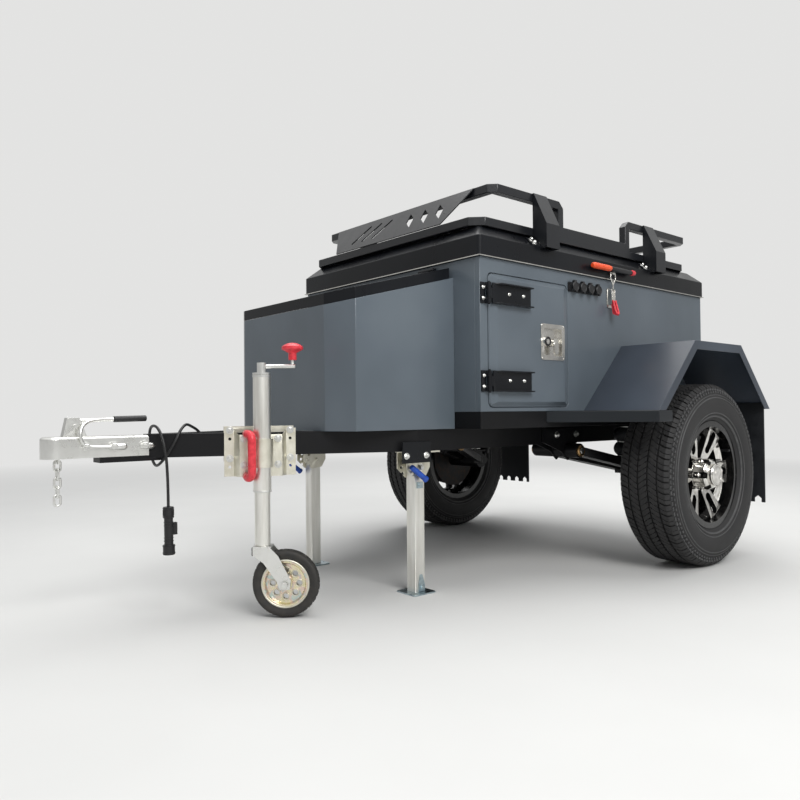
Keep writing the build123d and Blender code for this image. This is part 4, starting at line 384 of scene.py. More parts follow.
def solids_of(bm):
    """The faces of each separate solid."""
    bm.faces.ensure_lookup_table()
    waiting = set(bm.faces)
    groups = []
    while waiting:
        front = [waiting.pop()]
        group = list(front)
        while front:
            face = front.pop()
            for edge in face.edges:
                for other in edge.link_faces:
                    if other in waiting:
                        waiting.remove(other)
                        front.append(other)
                        group.append(other)
        groups.append(group)
    return groups


def dressed(node, finishes, edge_mm=1.0, pick=None, leave_out=None, smooth=35):
    """A node's own shape with broken edges.

    For a face and the corners of its solid, pick gives the number of the face's finish.
    """
    bm = merged_copy(node)
    if pick or leave_out:
        for group in solids_of(bm):
            corners = [v.co / MM for face in group for v in face.verts]
            low = Vector([min(c[i] for c in corners) for i in range(3)])
            high = Vector([max(c[i] for c in corners) for i in range(3)])
            if leave_out and leave_out(low, high):
                bmesh.ops.delete(bm, geom=group, context="FACES")
                continue
            for face in group:
                face.material_index = pick(face, low, high) if pick else 0
    piece = piece_of(node + "_coated", bm, BODY_OF[node], finishes, smooth=smooth, edge_mm=edge_mm)
    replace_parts(piece, node)
    return piece


def ring_cut(bm, height_mm):
    """A cut through all faces at a height, so that a finish can change there."""
    bmesh.ops.bisect_plane(bm, geom=geometry(bm), plane_co=(0, 0, height_mm * MM), plane_no=(0, 0, 1))


def banded(node, name, finishes, heights, pick, edge_mm):
    """A node's own shape, cut at heights, whose faces take the finish that pick numbers."""
    bm = merged_copy(node)
    for height in heights:
        ring_cut(bm, height)
    for face in bm.faces:
        face.material_index = pick(face)
    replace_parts(piece_of(name, bm, BODY_OF[node], finishes, edge_mm=edge_mm), node)


def lathe(profile, steps, closed=True):
    """A profile of (radius, along the axis) in millimetres turned full circle about Z."""
    bm = bmesh.new()
    verts = [bm.verts.new((radius * MM, 0, along * MM)) for radius, along in profile]
    edges = [bm.edges.new(pair) for pair in zip(verts, verts[1:])]
    if closed:
        edges.append(bm.edges.new((verts[-1], verts[0])))
    bmesh.ops.spin(bm, geom=verts + edges, cent=(0, 0, 0), axis=(0, 0, 1), dvec=(0, 0, 0), angle=2 * pi,
                   steps=steps, use_merge=True, use_duplicate=False)
    bmesh.ops.remove_doubles(bm, verts=bm.verts, dist=0.00001)
    bmesh.ops.recalc_face_normals(bm, faces=bm.faces)
    return bm


def ring_section(radius, along, wide, high, corners):
    """An oval section for a ring about Z, in millimetres."""
    steps = [2 * pi * number / corners for number in range(corners)]
    return [(radius + wide * cos(step), along + high * sin(step)) for step in steps]


def pulled_up(bm, corners, way):
    """A face with these corners extruded along a direction; gives the new geometry."""
    base = bm.faces.new([bm.verts.new(corner) for corner in corners])
    raised = bmesh.ops.extrude_face_region(bm, geom=[base])["geom"]
    bmesh.ops.translate(bm, verts=[item for item in raised if isinstance(item, bmesh.types.BMVert)], vec=way)
    return raised


def repeated(bm, count):
    """The same shape a number of times round Z, its faces outwards."""
    bmesh.ops.recalc_face_normals(bm, faces=bm.faces)
    bmesh.ops.spin(bm, geom=geometry(bm), cent=(0, 0, 0), axis=(0, 0, 1), dvec=(0, 0, 0),
                   angle=2 * pi * (count - 1) / count, steps=count - 1, use_merge=False, use_duplicate=True)


def put(bm, shape, place=Matrix(), finish=None):
    """Another bmesh added at a place, with one finish number or its own."""
    shape.transform(place)
    if finish is not None:
        for face in shape.faces:
            face.material_index = finish
    mesh = mesh_of("part", shape)
    bm.from_mesh(mesh)
    bpy.data.meshes.remove(mesh)


def at(x, y, z):
    """A place in millimetres."""
    return Matrix.Translation(Vector((x, y, z)) * MM)


def facing(x, y, z, way):
    """A place in millimetres whose Z points along a direction."""
    return at(x, y, z) @ Vector(way).normalized().to_track_quat("Z", "Y").to_matrix().to_4x4()


def disc(radius, depth, corners=24, chamfer=0.0):
    """A round or many-sided button standing on Z = 0, its upper rim chamfered."""
    profile = [(0, 0), (radius, 0), (radius, depth - chamfer), (radius - chamfer, depth), (0, depth)]
    if not chamfer:
        profile.pop(3)
    return lathe(profile, corners, closed=False)


def plate(x0, x1, y0, y1, z0, z1):
    """A box between two corners, in millimetres."""
    bm = bmesh.new()
    size = Matrix.Diagonal((abs(x1 - x0) * MM, abs(y1 - y0) * MM, abs(z1 - z0) * MM, 1))
    bmesh.ops.create_cube(bm, size=1, matrix=at((x0 + x1) / 2, (y0 + y1) / 2, (z0 + z1) / 2) @ size)
    return bm


def rod_piece(name, body, finish, points, radius, sides=5, steps=8):
    """A bent round bar along points in millimetres, with this many sides a quarter and steps a point."""
    data = bpy.data.curves.new(name, "CURVE")
    data.dimensions = "3D"
    data.bevel_depth = radius * MM
    data.bevel_resolution = sides
    data.use_fill_caps = True
    line = data.splines.new("NURBS")
    line.points.add(len(points) - 1)
    for point, place in zip(line.points, points):
        point.co = (*(Vector(place) * MM), 1)
    line.order_u = 3
    line.use_endpoint_u = True
    line.resolution_u = steps
    bar = placed(name, data)
    data.materials.append(FINISH[finish])
    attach(bar, body)
    return bar


def bolts(name, body, finish, across, seats):
    """Hex heads on washers, by their size across the flats. A seat is x, y, z and the way the head points."""
    washer = 1.8
    bm = bmesh.new()
    for seat in seats:
        place = facing(*seat)
        head = place @ at(0, 0, washer - 0.2)
        put(bm, disc(across * 0.82, washer, 20, 0.4), place)
        put(bm, disc(across * 0.577, across * 0.6, 6, across * 0.07), head)
        put(bm, disc(across * 0.26, across * 0.78, 12, 0.6), head)
    return piece_of(name, bm, body, [finish])


# Diamonds in the rack's leaning plate: their places across the trailer
DIAMONDS = (-115, -200, -285)

# Folded sheet, whose shallow folds stay crisp: the least angle of a fold, and the nodes
FOLD_ANGLE = 9
FOLDED = (
    "front_box", "body_left_side", "body_right_side", "body_front_wall", "body_rear_frame", "fender_left",
    "fender_right", "steps", "door_left", "door_right", "main_lid", "rack_frame", "rack_brackets",
    "front_lid", "tailgate", "drawbar_frame", "chassis_rails",
)

# Nodes that keep one finish: node, finish, broken edge in millimetres
COATED = (
    ("drawbar_frame", "black_steel", 2.5), ("chassis_rails", "black_steel", 2.0),
    ("coupler_body", "zinc", 1.2), ("front_box", "grey_paint", 2.0), ("body_left_side", "grey_paint", 1.5),
    ("body_right_side", "grey_paint", 1.5), ("body_front_wall", "grey_paint", 1.5),
    ("body_rear_frame", "grey_paint", 1.5), ("body_floor", "black_steel", 1),
    ("fender_left", "fender_paint", 1.4), ("fender_right", "fender_paint", 1.4),
    ("steps", "step_paint", 2.0), ("mud_flap_left", "flap_rubber", 1.0),
    ("mud_flap_right", "flap_rubber", 1.0), ("suspension_arm_left", "black_steel", 2.0),
    ("suspension_arm_right", "black_steel", 2.0), ("air_springs", "flap_rubber", 0),
    ("dampers", "black_steel", 1.0), ("spring_towers", "black_steel", 1.5),
    ("pivot_mounts", "black_steel", 1.0), ("hub_left", "cast_drum", 1.5), ("hub_right", "cast_drum", 1.5),
    ("hinge_leaves", "black_paint", 0.8), ("socket_panel", "black_plastic", 1.0),
    ("jockey_bracket", "yellow_zinc", 1.2), ("jockey_tube", "tube_zinc", 0.6),
    ("jockey_crank", "zinc", 0.8), ("jockey_grips", "red_plastic", 1.5), ("safety_chain", "zinc", 0),
    ("cable_gland", "black_plastic", 0.6), ("door_left", "grey_paint", 1.5),
    ("door_right", "grey_paint", 1.5), ("main_lid", "black_paint", 2.0), ("rack_frame", "rack_paint", 2.5),
    ("rack_brackets", "rack_paint", 1.4), ("front_lid", "black_paint", 1.5),
    ("tailgate", "grey_paint", 1.5), ("jockey_inner_tube", "tube_zinc", 0.6), ("jockey_fork", "zinc", 0.8),
    ("jockey_rim", "pocket_zinc", 0.8),
)


# Where finishes meet: the circle of the wheel's nuts, the latch, and the heights of dip and lenses
NUT_CIRCLE = 60
LATCH_X = AXLE_X - 287
LATCH_DIP = 1092
AMBER_BOTTOM = 808
CLEAR_TOP = 745


def lever_finish(face, low, high):
    """The grip's sleeve is black; the latch and its rod are plated."""
    grip_x = AXLE_X - 2141
    return 1 if low.x > grip_x else 0


def door_fitting_finish(face, low, high):
    """The two straps are black; the lock between them is stainless."""
    lock_bottom = 830
    lock_top = 976
    return 1 if low.z > lock_bottom and high.z < lock_top else 0


def latch_finish(face):
    """The curled handle's lower half is dipped in red; the base and claw are stainless."""
    half_handle = 8.5
    base_face = -BODY_SIDE - 9.5
    centre = face.calc_center_median() / MM
    curled = abs(centre.x - LATCH_X) < half_handle and centre.y < base_face and centre.z < LATCH_DIP
    return 1 if curled else 0


def leg_bracket_finish(face, low, high):
    """The bolt plate on the rail is black; the pivot cheeks are cream zinc."""
    plate_bottom = 460
    return 1 if low.z > plate_bottom else 0


def leg_finish(face, low, high):
    """The tube is bright zinc; the foot is blue zinc."""
    foot_top = 7 * MM
    return 1 if face.calc_center_median().z < foot_top else 0


def lamp_finish(face):
    """Amber above, red in the middle, clear below."""
    z = face.calc_center_median().z / MM
    return 1 if z > AMBER_BOTTOM else 2 if z < CLEAR_TOP else 0


def gate_fitting_finish(face, low, high):
    """Straps are black, the handle is stainless and the number plate is blank."""
    plate_width = 300
    handle_width = 120
    wide = high.y - low.y
    return 2 if wide > plate_width else 1 if wide > handle_width else 0


def rim_finish(side):
    """Machined on the spokes' faces and the hub, gloss black in the pockets, the flutes and the barrel."""
    hub_radius = 66
    hub_depth = 44
    cap_depth = 99
    core_radius = 44.5
    spoke_radius = 199
    nut_radius = 9.5
    flute_radius = 14.5
    face_depth = 10

    def pick(face, low, high):
        centre = face.calc_center_median() / MM
        dx = centre.x - AXLE_X
        dz = centre.z - TYRE_RADIUS
        corners = [v.co / MM for v in face.verts]
        reach = sum(hypot(c.x - AXLE_X, c.z - TYRE_RADIUS) for c in corners) / len(corners)
        outward = face.normal.y * side
        depth = centre.y * side - WHEEL_Y
        if reach < hub_radius and depth > hub_depth:
            nearest = round(atan2(dz, dx) / (pi / 3)) * pi / 3
            away = hypot(dx - NUT_CIRCLE * cos(nearest), dz - NUT_CIRCLE * sin(nearest))
            in_flute = nut_radius < away < flute_radius and depth < cap_depth
            return 1 if in_flute and hypot(dx, dz) > core_radius else 0
        return 0 if outward > 0.25 and depth > face_depth and reach < spoke_radius else 1
    return pick


def mixed_finish_nodes():
    """The nodes that carry two or three finishes."""
    dressed("coupler_lever", ["zinc", "black_plastic"], 0.8, lever_finish)
    for name, side in SIDES:
        dressed("door_" + name + "_fittings", ["black_paint", "stainless"], 0.8, door_fitting_finish)
        dressed("leg_" + name, ["tube_zinc", "foot_zinc"], 1.5, leg_finish)
        dressed("rim_" + name, ["alloy", "alloy_black"], 1.6, rim_finish(side))
    banded("lid_latch", "lid_latch_dipped", ["stainless", "red_plastic"], [LATCH_DIP], latch_finish, 0.8)
    dressed("leg_brackets", ["yellow_zinc", "black_paint"], 1.0, leg_bracket_finish)
    dressed("tailgate_fittings", ["black_paint", "stainless", "white_plate"], 0.8, gate_fitting_finish)
    # The grip bar is made anew by lid_grip
    bar_length = 300
    dressed("lid_fittings", ["stainless"], 0.8, leave_out=lambda low, high: high.x - low.x > bar_length)
    banded("tail_lamps", "tail_lamps_coated", ["lamp_red", "lamp_amber", "lamp_clear"],
           [CLEAR_TOP, AMBER_BOTTOM], lamp_finish, 1.5)


# Tyres: a turned carcass with a tread of blocks, one pitch repeated round it
TREAD_PITCHES = 52
TREAD_DEPTH = 9
FLAT_HALF = 90
SHOULDER_HALF = 104


def crown(across):
    """Radius of the tread's surface at a distance from the tyre's middle."""
    beyond = abs(across) - FLAT_HALF
    if beyond <= 0:
        return TYRE_RADIUS - 3 * (across / FLAT_HALF) ** 2
    return TYRE_RADIUS - 3 - 13 * beyond / (SHOULDER_HALF - FLAT_HALF)


def flank(radius):
    """How far the sidewall stands from the tyre's middle at a radius: an arc, fullest at its belly."""
    belly_radius = 292
    half_width = 119.6
    # The arc falls back by a depth at a distance from the belly
    fall = 33
    away = 77
    curve = (away ** 2 + fall ** 2) / (2 * fall)
    return half_width - curve + sqrt(curve ** 2 - (radius - belly_radius) ** 2)


def carcass():
    """The tyre's body: bead, sidewall with its moulded rings, and the floor of the grooves."""
    bead_radius = 204
    rim_edge = 222
    wall_foot = 224
    wall_top = 353
    toe = 87.4
    # Moulded rings: radius, height, half width
    rings = ((239, 4.6, 6), (253, 2.4, 3), (316, 2.6, 3), (327, 2.2, 2.6))
    wall = []
    for step in range(91):
        radius = wall_foot + (wall_top - wall_foot) * step / 90
        lift = sum(height * max(0.0, 1 - ((radius - at) / half) ** 2) for at, height, half in rings)
        wall.append((radius, flank(radius) + lift))
    floor = [(crown(across) - TREAD_DEPTH, across) for across in (SHOULDER_HALF - 1, 96, 84, 60, 30, 0)]
    half = [(bead_radius, toe), (rim_edge, toe)] + wall + floor
    other = [(radius, -along) for radius, along in reversed(half[:-1])]
    bm = lathe(half + other, 120)
    # The ring tops take the lighter rubber: a painted highlight on the raised rings
    for face in bm.faces:
        radius = face.calc_center_median().xy.length / MM
        face.material_index = 1 if any(abs(radius - at) < width * 0.6 for at, height, width in rings) else 0
    return bm


def tread_block(bm, outline):
    """A block of the tread, still flat; its outline is (along the tread, across it)."""
    edge = 0.8
    sunk = TREAD_DEPTH + 2
    raised = pulled_up(bm, [(along, across, -sunk) for along, across in outline], (0, 0, sunk))
    rim = [item for item in raised if isinstance(item, bmesh.types.BMEdge)]
    bmesh.ops.bevel(bm, geom=rim, offset=edge, segments=1, affect="EDGES", profile=0.5, material=-1)


def tread():
    """Five rows: a slanted pair of blocks in each rib and two curved lugs on each shoulder, repeated."""
    pitch = 2 * pi * TYRE_RADIUS / TREAD_PITCHES
    sipe = 5.2
    notch = 2.5
    lug = pitch / 2 - sipe
    lug_start = 64
    lug_bend = 17
    bm = bmesh.new()
    # Ribs: inner edge, outer edge, slant along the tread
    for near, far, slant in ((-56, -24, 22), (-17, 17, -22), (24, 56, 22)):
        for start in (0, pitch / 2):
            middle = (near + far) / 2
            bent = start + slant / 2
            tread_block(bm, [(start, near), (start + lug, near), (bent + lug + notch, middle),
                             (start + lug + slant, far), (start + slant, far), (bent - notch, middle)])
    # Shoulder lugs: how far along the tread each edge has run at a share of its width
    shares = (0, 0.25, 0.5, 0.75, 1)
    for side in (-1, 1):
        for start in (0, pitch / 2):
            gap = 6.4 if start else 2.4
            bend = [side * lug_bend * (share * (1.7 - share)) for share in shares]
            across = [side * (lug_start + (SHOULDER_HALF - lug_start) * share) for share in shares]
            front = [(start + shift, place) for shift, place in zip(bend, across)]
            rear = [(start + pitch / 2 - gap + shift, place) for shift, place in zip(bend, across)]
            tread_block(bm, front + rear[::-1])
    for side in (-1, 1):
        bmesh.ops.bisect_plane(bm, geom=geometry(bm), plane_co=(0, side * FLAT_HALF, 0), plane_no=(0, 1, 0))
    for vert in bm.verts:
        along, across, lift = vert.co
        radius = crown(across) + lift
        vert.co = Vector((radius * cos(along / TYRE_RADIUS), radius * sin(along / TYRE_RADIUS), across)) * MM
    # Small teeth moulded round the upper sidewall: radius, length round it, height
    for side in (-1, 1):
        for number, (radius, length, height) in enumerate(((346, 15, 8), (336, 9, 7.5))):
            for start in (0, 0.5):
                tooth = plate(radius, radius + height, 0, length, side * (flank(radius + height) - 3),
                              side * (flank(radius) + 2.6))
                turn = Matrix.Rotation((start + number * 0.22) * 2 * pi / TREAD_PITCHES, 4, "Z")
                # Each tooth takes the lighter rubber: a painted highlight
                put(bm, tooth, turn, 1)
    repeated(bm, TREAD_PITCHES)
    return bm


def wheel_place(side):
    """The wheel's centre, its Z out of the trailer and its Y up."""
    turn = Matrix(((-side, 0, 0), (0, 0, side), (0, 1, 0))).to_4x4()
    return at(AXLE_X, side * WHEEL_Y, TYRE_RADIUS) @ turn


def wheels():
    """Each road wheel's tyre, nuts, cap ring and valve."""
    nut_floor = 60
    valve_radius = 184
    cap_face = 117.6
    for name, side in SIDES:
        body = "wheel_" + name
        place = wheel_place(side)
        bm = bmesh.new()
        put(bm, carcass(), place)
        put(bm, tread(), place)
        tyre = piece_of("tyre_" + name + "_moulded", bm, body, ["tyre", "tyre_ring_highlight"], smooth=30)
        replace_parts(tyre, "tyre_" + name)
        bm = bmesh.new()
        for number in range(6):
            seat = place @ Matrix.Rotation(number * pi / 3, 4, "Z") @ at(NUT_CIRCLE, 0, nut_floor)
            put(bm, disc(11, 12, 6, 1.5), seat)
            put(bm, lathe([(0, 18), (5, 17), (8, 12), (8, 6), (0, 6)], 16, closed=False), seat)
        # A rolled ring round the hub cap and a shallow boss in its middle
        put(bm, lathe(ring_section(39, 117, 3, 2, 16), 48), place)
        put(bm, disc(22, 1.5, 40, 0.8), place @ at(0, 0, cap_face))
        piece_of("wheel_nuts_" + name, bm, body, ["alloy"])
        # Rubber valve with its cap, beside a spoke
        valve = [(0, 0), (5.5, 0), (4.5, 8), (4.5, 22), (5.2, 23), (5.2, 33), (3.5, 35), (0, 35)]
        bm = bmesh.new()
        put(bm, lathe(valve, 14, closed=False),
            place @ Matrix.Rotation(radians(30), 4, "Z") @ at(valve_radius, 0, nut_floor))
        piece_of("tyre_valve_" + name, bm, body, ["black_plastic"])


# Jockey wheel: its tread of V blocks, rim beads, axle nuts and fixings
JOCKEY_X = AXLE_X - 1756
JOCKEY_Y = -235
JOCKEY_HEADING = radians(-40.5)
JOCKEY_TRAIL = 74
JOCKEY_RADIUS = 107


def jockey_wheel_place():
    """The small wheel's centre, its Z along the axle."""
    way = Vector((cos(JOCKEY_HEADING), sin(JOCKEY_HEADING), 0))
    axle = Vector((sin(JOCKEY_HEADING), -cos(JOCKEY_HEADING), 0))
    centre = Vector((JOCKEY_X, JOCKEY_Y, JOCKEY_RADIUS)) + way * JOCKEY_TRAIL
    return at(*centre) @ Matrix((way, axle.cross(way), axle)).transposed().to_4x4()


def jockey_wheel():
    """The small wheel's tyre with its V tread, its rim's rolled beads and bosses, and the axle's nuts."""
    place = jockey_wheel_place()
    floor = 103.4
    wall = [(76.2, 17.5), (82, 19.6), (88, 21.8), (93, 23), (98, 22.4), (102, 20)]
    profile = wall + [(floor, 17), (floor, 0)]
    profile += [(radius, -along) for radius, along in reversed(profile[:-1])]
    bm = lathe(profile, 72)
    block = bmesh.new()
    pitches = 30
    lug = 2 * pi * JOCKEY_RADIUS / pitches * 0.62
    slant = 13
    sunk = 5
    flat_half = 11
    for side in (-1, 1):
        outline = [(0, side * 1.5), (lug, side * 1.5), (lug + slant, side * 19), (slant, side * 19)]
        pulled_up(block, [(along, across, -sunk) for along, across in outline], (0, 0, sunk))
    for vert in block.verts:
        along, across, lift = vert.co
        drop = 4 * max(0, abs(across) - flat_half) / 7
        radius = JOCKEY_RADIUS - 0.2 - drop + lift
        angle = along / JOCKEY_RADIUS
        vert.co = Vector((radius * cos(angle), radius * sin(angle), across)) * MM
    repeated(block, pitches)
    put(bm, block)
    bm.transform(place)
    tyre = piece_of("jockey_tyre_moulded", bm, "jockey_wheel", ["jockey_rubber"], smooth=30)
    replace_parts(tyre, "jockey_tyre")
    # Rolled bead on each side of the rim and a pressed boss round each pocket
    bm = bmesh.new()
    for side in (-1, 1):
        put(bm, lathe(ring_section(73.5, side * 18.5, 3.2, 2.4, 12), 64), place)
        for number in range(8):
            pocket = place @ Matrix.Rotation(number * pi / 4, 4, "Z") @ at(42, 0, 0)
            put(bm, lathe(ring_section(10.5, side * 6.5, 2, 1.8, 8), 20), pocket)
    piece_of("jockey_rim_beads", bm, "jockey_wheel", ["yellow_zinc"])
    bm = bmesh.new()
    for side in (-1, 1):
        seat = place @ at(0, 0, side * 38) @ Matrix.Rotation(0 if side > 0 else pi, 4, "X")
        put(bm, disc(11, 8, 6, 1.2), seat)
    piece_of("jockey_axle_nuts", bm, "jockey_fork", ["zinc"])


def beam_point(along_mm, out_mm, z):
    """A point by the near drawbar beam beside the jockey: along it, out from its face, height."""
    angle = radians(25)
    along = Vector((cos(angle), -sin(angle), 0))
    out = Vector((-sin(angle), -cos(angle), 0))
    apex = Vector((AXLE_X - 2025, 0, 0))
    axis = Vector((JOCKEY_X, JOCKEY_Y, 0))
    half_beam = 25
    foot = apex + along * (axis - apex).dot(along) + out * half_beam
    place = foot + along * along_mm + out * out_mm
    return place.x, place.y, z, out


def jockey_fixings():
    """The bracket's bolts, the tube's collars and the fork's rubber stop."""
    foot_face = 5.3
    crest_face = 35
    seats = [beam_point(s, foot_face, z) for s in (-97, 97) for z in (498, 589)]
    seats += [beam_point(s, crest_face, z) for s in (-54, 54) for z in (478, 562)]
    bolts("jockey_bracket_bolts", "trailer", "zinc", 15, seats)
    # Collar under the outer tube and the cap's rim
    radius = 29.2
    bm = bmesh.new()
    for z, depth in ((394, 7), (757, 9)):
        collar = lathe([(radius - 3, 0), (radius, 1), (radius, depth - 1), (radius - 3, depth)], 40)
        put(bm, collar, at(JOCKEY_X, JOCKEY_Y, z))
    piece_of("jockey_tube_collars", bm, "trailer", ["zinc"])
    # Black rubber stop on the fork's front
    bm = bmesh.new()
    put(bm, plate(-31, -24, -24, 24, 196, 222),
        at(JOCKEY_X, JOCKEY_Y, 0) @ Matrix.Rotation(JOCKEY_HEADING, 4, "Z"))
    piece_of("jockey_fork_stop", bm, "jockey_fork", ["flap_rubber"], edge_mm=2)


# Bolts, nuts and rivets on the bodywork
def body_fixings():
    """Rows of bolts, each with the part that they hold."""
    for name, side in SIDES:
        out = (0, side, 0)
        # Name, body, size across the flats, reaches, distance from the middle, heights
        rows = (
            ("hinge_leaf_bolts_", "trailer", 8, [1058], BODY_SIDE + 5, [1077, 1039, 768, 730]),
            ("hinge_strap_bolts_", "door_" + name, 8, [935, 857], STRAP_FACE, [1061, 752]),
            ("leg_plate_bolts_", "trailer", 14, [1293, 1202], 401, [492]),
            ("chassis_bolts_", "trailer", 17, [468, 338], 403, [543]),
            ("leg_pivot_nuts_", "trailer", 16, [1190], 357, [446]),
        )
        for row, body, across, reaches, face, heights in rows:
            seats = [(AXLE_X - reach, side * face, z, out) for reach in reaches for z in heights]
            bolts(row + name, body, "zinc", across, seats)
    # The nose lid falls away from its hinge at the body's front wall
    hinge_reach = 1085
    hinge_z = 1141
    fall = 0.2606
    nose = [(AXLE_X - hinge_reach - reach, side * (280 + across), hinge_z - fall * reach, (-0.25, 0, 1))
            for side in (-1, 1) for across in (-9, 9) for reach in (22, 44)]
    bolts("nose_hinge_bolts", "front_lid", "zinc", 8, nose)
    # Two bolts up each tab of the rack's brackets
    tab = [(AXLE_X - reach, side * across, z, (0, side * 0.68, 0.73))
           for side in (-1, 1) for reach in (772, 2) for across, z in ((542, 1272), (526, 1287))]
    bolts("rack_tab_bolts", "main_lid", "zinc", 13, tab)
    # Four bolts in each of the tailgate's three straps, and the bare plate's two screws
    gate = [(AXLE_X + 508, middle + across, z, (1, 0, 0)) for middle in (-300, 0, 300) for across in (-10, 10)
            for z in (700, 728)]
    bolts("gate_strap_bolts", "tailgate", "zinc", 9, gate)
    bolts("number_plate_screws", "tailgate", "zinc", 6,
          [(AXLE_X + 506, across, 832, (1, 0, 0)) for across in (-120, 120)])
    # Nuts on the coupler's left side
    bolts("coupler_nuts", "trailer", "zinc", 20,
          [(AXLE_X - reach, -30, 547, (0, -1, 0)) for reach in (2231, 2150, 2055)])


def door_details():
    """Key lock ring and lock rivets of each door."""
    lock_front = AXLE_X - 754
    key_x = lock_front + 24
    key_z = 903.5
    for name, side in SIDES:
        out = (0, side, 0)
        bm = bmesh.new()
        key = facing(key_x, side * (DOOR_FACE + 14), key_z, out)
        put(bm, lathe([(11, 0), (18.2, 0), (18.2, 3), (16, 5), (12, 5), (11, 3.5)], 32), key)
        piece_of("door_key_ring_" + name, bm, "door_" + name, ["black_plastic"])
        bm = bmesh.new()
        put(bm, disc(10.5, 3, 28, 0.6), key)
        slot = [side * (DOOR_FACE + depth) for depth in (16, 17.6)]
        put(bm, plate(key_x - 1, key_x + 1, *slot, key_z - 6, key_z + 6))
        for dx in (7, 137):
            for z in (842, 965):
                put(bm, disc(3.6, 1.6, 12, 0.8), facing(lock_front + dx, side * (DOOR_FACE + 3), z, out))
        piece_of("door_lock_rivets_" + name, bm, "door_" + name, ["stainless"])


def socket_caps():
    """A sprung cap over each power socket, with its hinge ear above."""
    first_x = AXLE_X - 542
    spacing = 52
    face = -BODY_SIDE - 18
    rim = [(0, 0), (18.5, 0), (19.5, 1.5), (19.5, 4), (17.5, 6), (15, 6), (13.5, 4.6), (0, 4.6)]
    bm = bmesh.new()
    for number in range(4):
        x = first_x + number * spacing
        put(bm, lathe(rim, 32, closed=False), facing(x, face, 1131, (0, -1, 0)))
        put(bm, plate(x - 6, x + 6, face + 10, face - 4, 1148, 1156))
        put(bm, disc(3.2, 14, 12, 0.6), facing(x - 7, face + 2, 1154, (1, 0, 0)))
        put(bm, plate(x - 4, x + 4, face, face - 8, 1108, 1114))
    piece_of("socket_caps", bm, "trailer", ["black_plastic"], edge_mm=0.8)


def lid_grip():
    """The bar on the lid's side: an orange sleeve, a black taper and a red end ring, on two standoffs."""
    front = AXLE_X - 460
    y = -LID_SIDE - 24
    z = 1226
    place = at(front, y, z) @ Matrix.Rotation(pi / 2, 4, "Y")
    bm = bmesh.new()
    sleeve = [(0, 12), (8, 12), (10.4, 15), (11.5, 20), (11.5, 124), (10.8, 136), (8, 141), (0, 141)]
    taper = [(0, 139), (9, 139), (10.5, 146), (10.5, 230), (9, 292), (0, 292)]
    ring = [(0, 290), (10.4, 290), (11.4, 293), (11.4, 308), (10, 313), (0, 314)]
    for number, profile in enumerate((sleeve, taper, ring)):
        put(bm, lathe(profile, 40, closed=False), place, number)
    for rib in range(7):
        along = 30 + rib * 15
        profile = [(11, along - 3), (12.2, along - 1.5), (12.2, along + 1.5), (11, along + 3)]
        put(bm, lathe(profile, 40), place, 0)
    for reach in (410, 182):
        foot = plate(AXLE_X - reach - 12, AXLE_X - reach + 12, y, -LID_SIDE, z - 8, z + 8)
        bmesh.ops.bevel(foot, geom=foot.edges[:], offset=2 * MM, segments=2, affect="EDGES", profile=0.5,
                        material=-1)
        put(bm, foot, finish=1)
    piece_of("lid_grip_bar", bm, "main_lid", ["orange_plastic", "black_plastic", "red_plastic"])


def lid_edge_highlight_strip():
    """A bright stainless strip along the lower edge of the main lid's skirt: a painted highlight along the
    edge.
    """
    front = AXLE_X - 1080
    rear = AXLE_X + 505
    low = 1186.2
    high = 1189.6
    proud = 0.7
    bm = bmesh.new()
    for side in (-1, 1):
        face = side * LID_SIDE
        put(bm, plate(front - proud, rear, face - side * 1.5, face + side * proud, low, high))
    put(bm, plate(front - proud, front + 1.5, -LID_SIDE, LID_SIDE, low, high))
    piece_of("lid_edge_highlight_strip", bm, "main_lid", ["stainless"])


def latch_prongs():
    """The dipped U at the end of the latch's handle."""
    y = -BODY_SIDE - 33
    half = [(9, y + 6, 1098), (10, y, 1074), (10, y - 7, 1050), (5, y - 11, 1040)]
    points = [(LATCH_X - x, y, z) for x, y, z in half] + [(LATCH_X + x, y, z) for x, y, z in reversed(half)]
    rod_piece("latch_red_prongs", "trailer", "red_plastic", points, 4.2)


def leg_pins():
    """Blue sleeve grips of the pull pins that lock the legs, and their plated tips."""
    # Reach, distance from the middle and height of each sleeve's two ends
    ends = {"left": ((1248, 374, 452), (1180, 376, 403)), "right": ((1280, 372, 434), (1222, 374, 392))}
    for name, side in SIDES:
        top, low = (Vector((AXLE_X - reach, side * out, z)) for reach, out, z in ends[name])
        run = low - top
        place = facing(*top, run)
        length = run.length
        bm = bmesh.new()
        sleeve = [(0, 0), (8.5, 0), (10, 2), (10, length - 8), (12, length - 5), (11.5, length),
                  (0, length + 1)]
        put(bm, lathe(sleeve, 24, closed=False), place, 0)
        tip = top + run * 0.2
        put(bm, disc(5, 30, 16, 1), facing(tip.x, side * 352, tip.z, (0, side, 0)), 1)
        piece_of("leg_pull_pin_" + name, bm, "trailer", ["blue_plastic", "zinc"])


def leg_details():
    """A catch high on each leg's outer face, and a gusset with its bolt above the foot."""
    for name, side in SIDES:
        bm = bmesh.new()
        x = AXLE_X - 1190
        face = side * 350.5
        put(bm, plate(x - 13, x + 13, face, face + side * 5, 372, 394))
        put(bm, disc(5, 4, 16, 1), facing(x - 4, face + side * 5, 383, (0, side, 0)))
        gusset = bmesh.new()
        corners = ((x - 8, 6), (x + 20, 6), (x + 20, 30), (x + 8, 66), (x - 2, 66), (x - 8, 30))
        pulled_up(gusset, [Vector((px, face, pz)) * MM for px, pz in corners], (0, side * 3 * MM, 0))
        bmesh.ops.recalc_face_normals(gusset, faces=gusset.faces)
        put(bm, gusset)
        put(bm, disc(6, 5, 6, 1), facing(x + 4, face + side * 3, 22, (0, side, 0)))
        piece_of("leg_catch_and_gusset_" + name, bm, "leg_" + name, ["foot_zinc"], edge_mm=0.5)


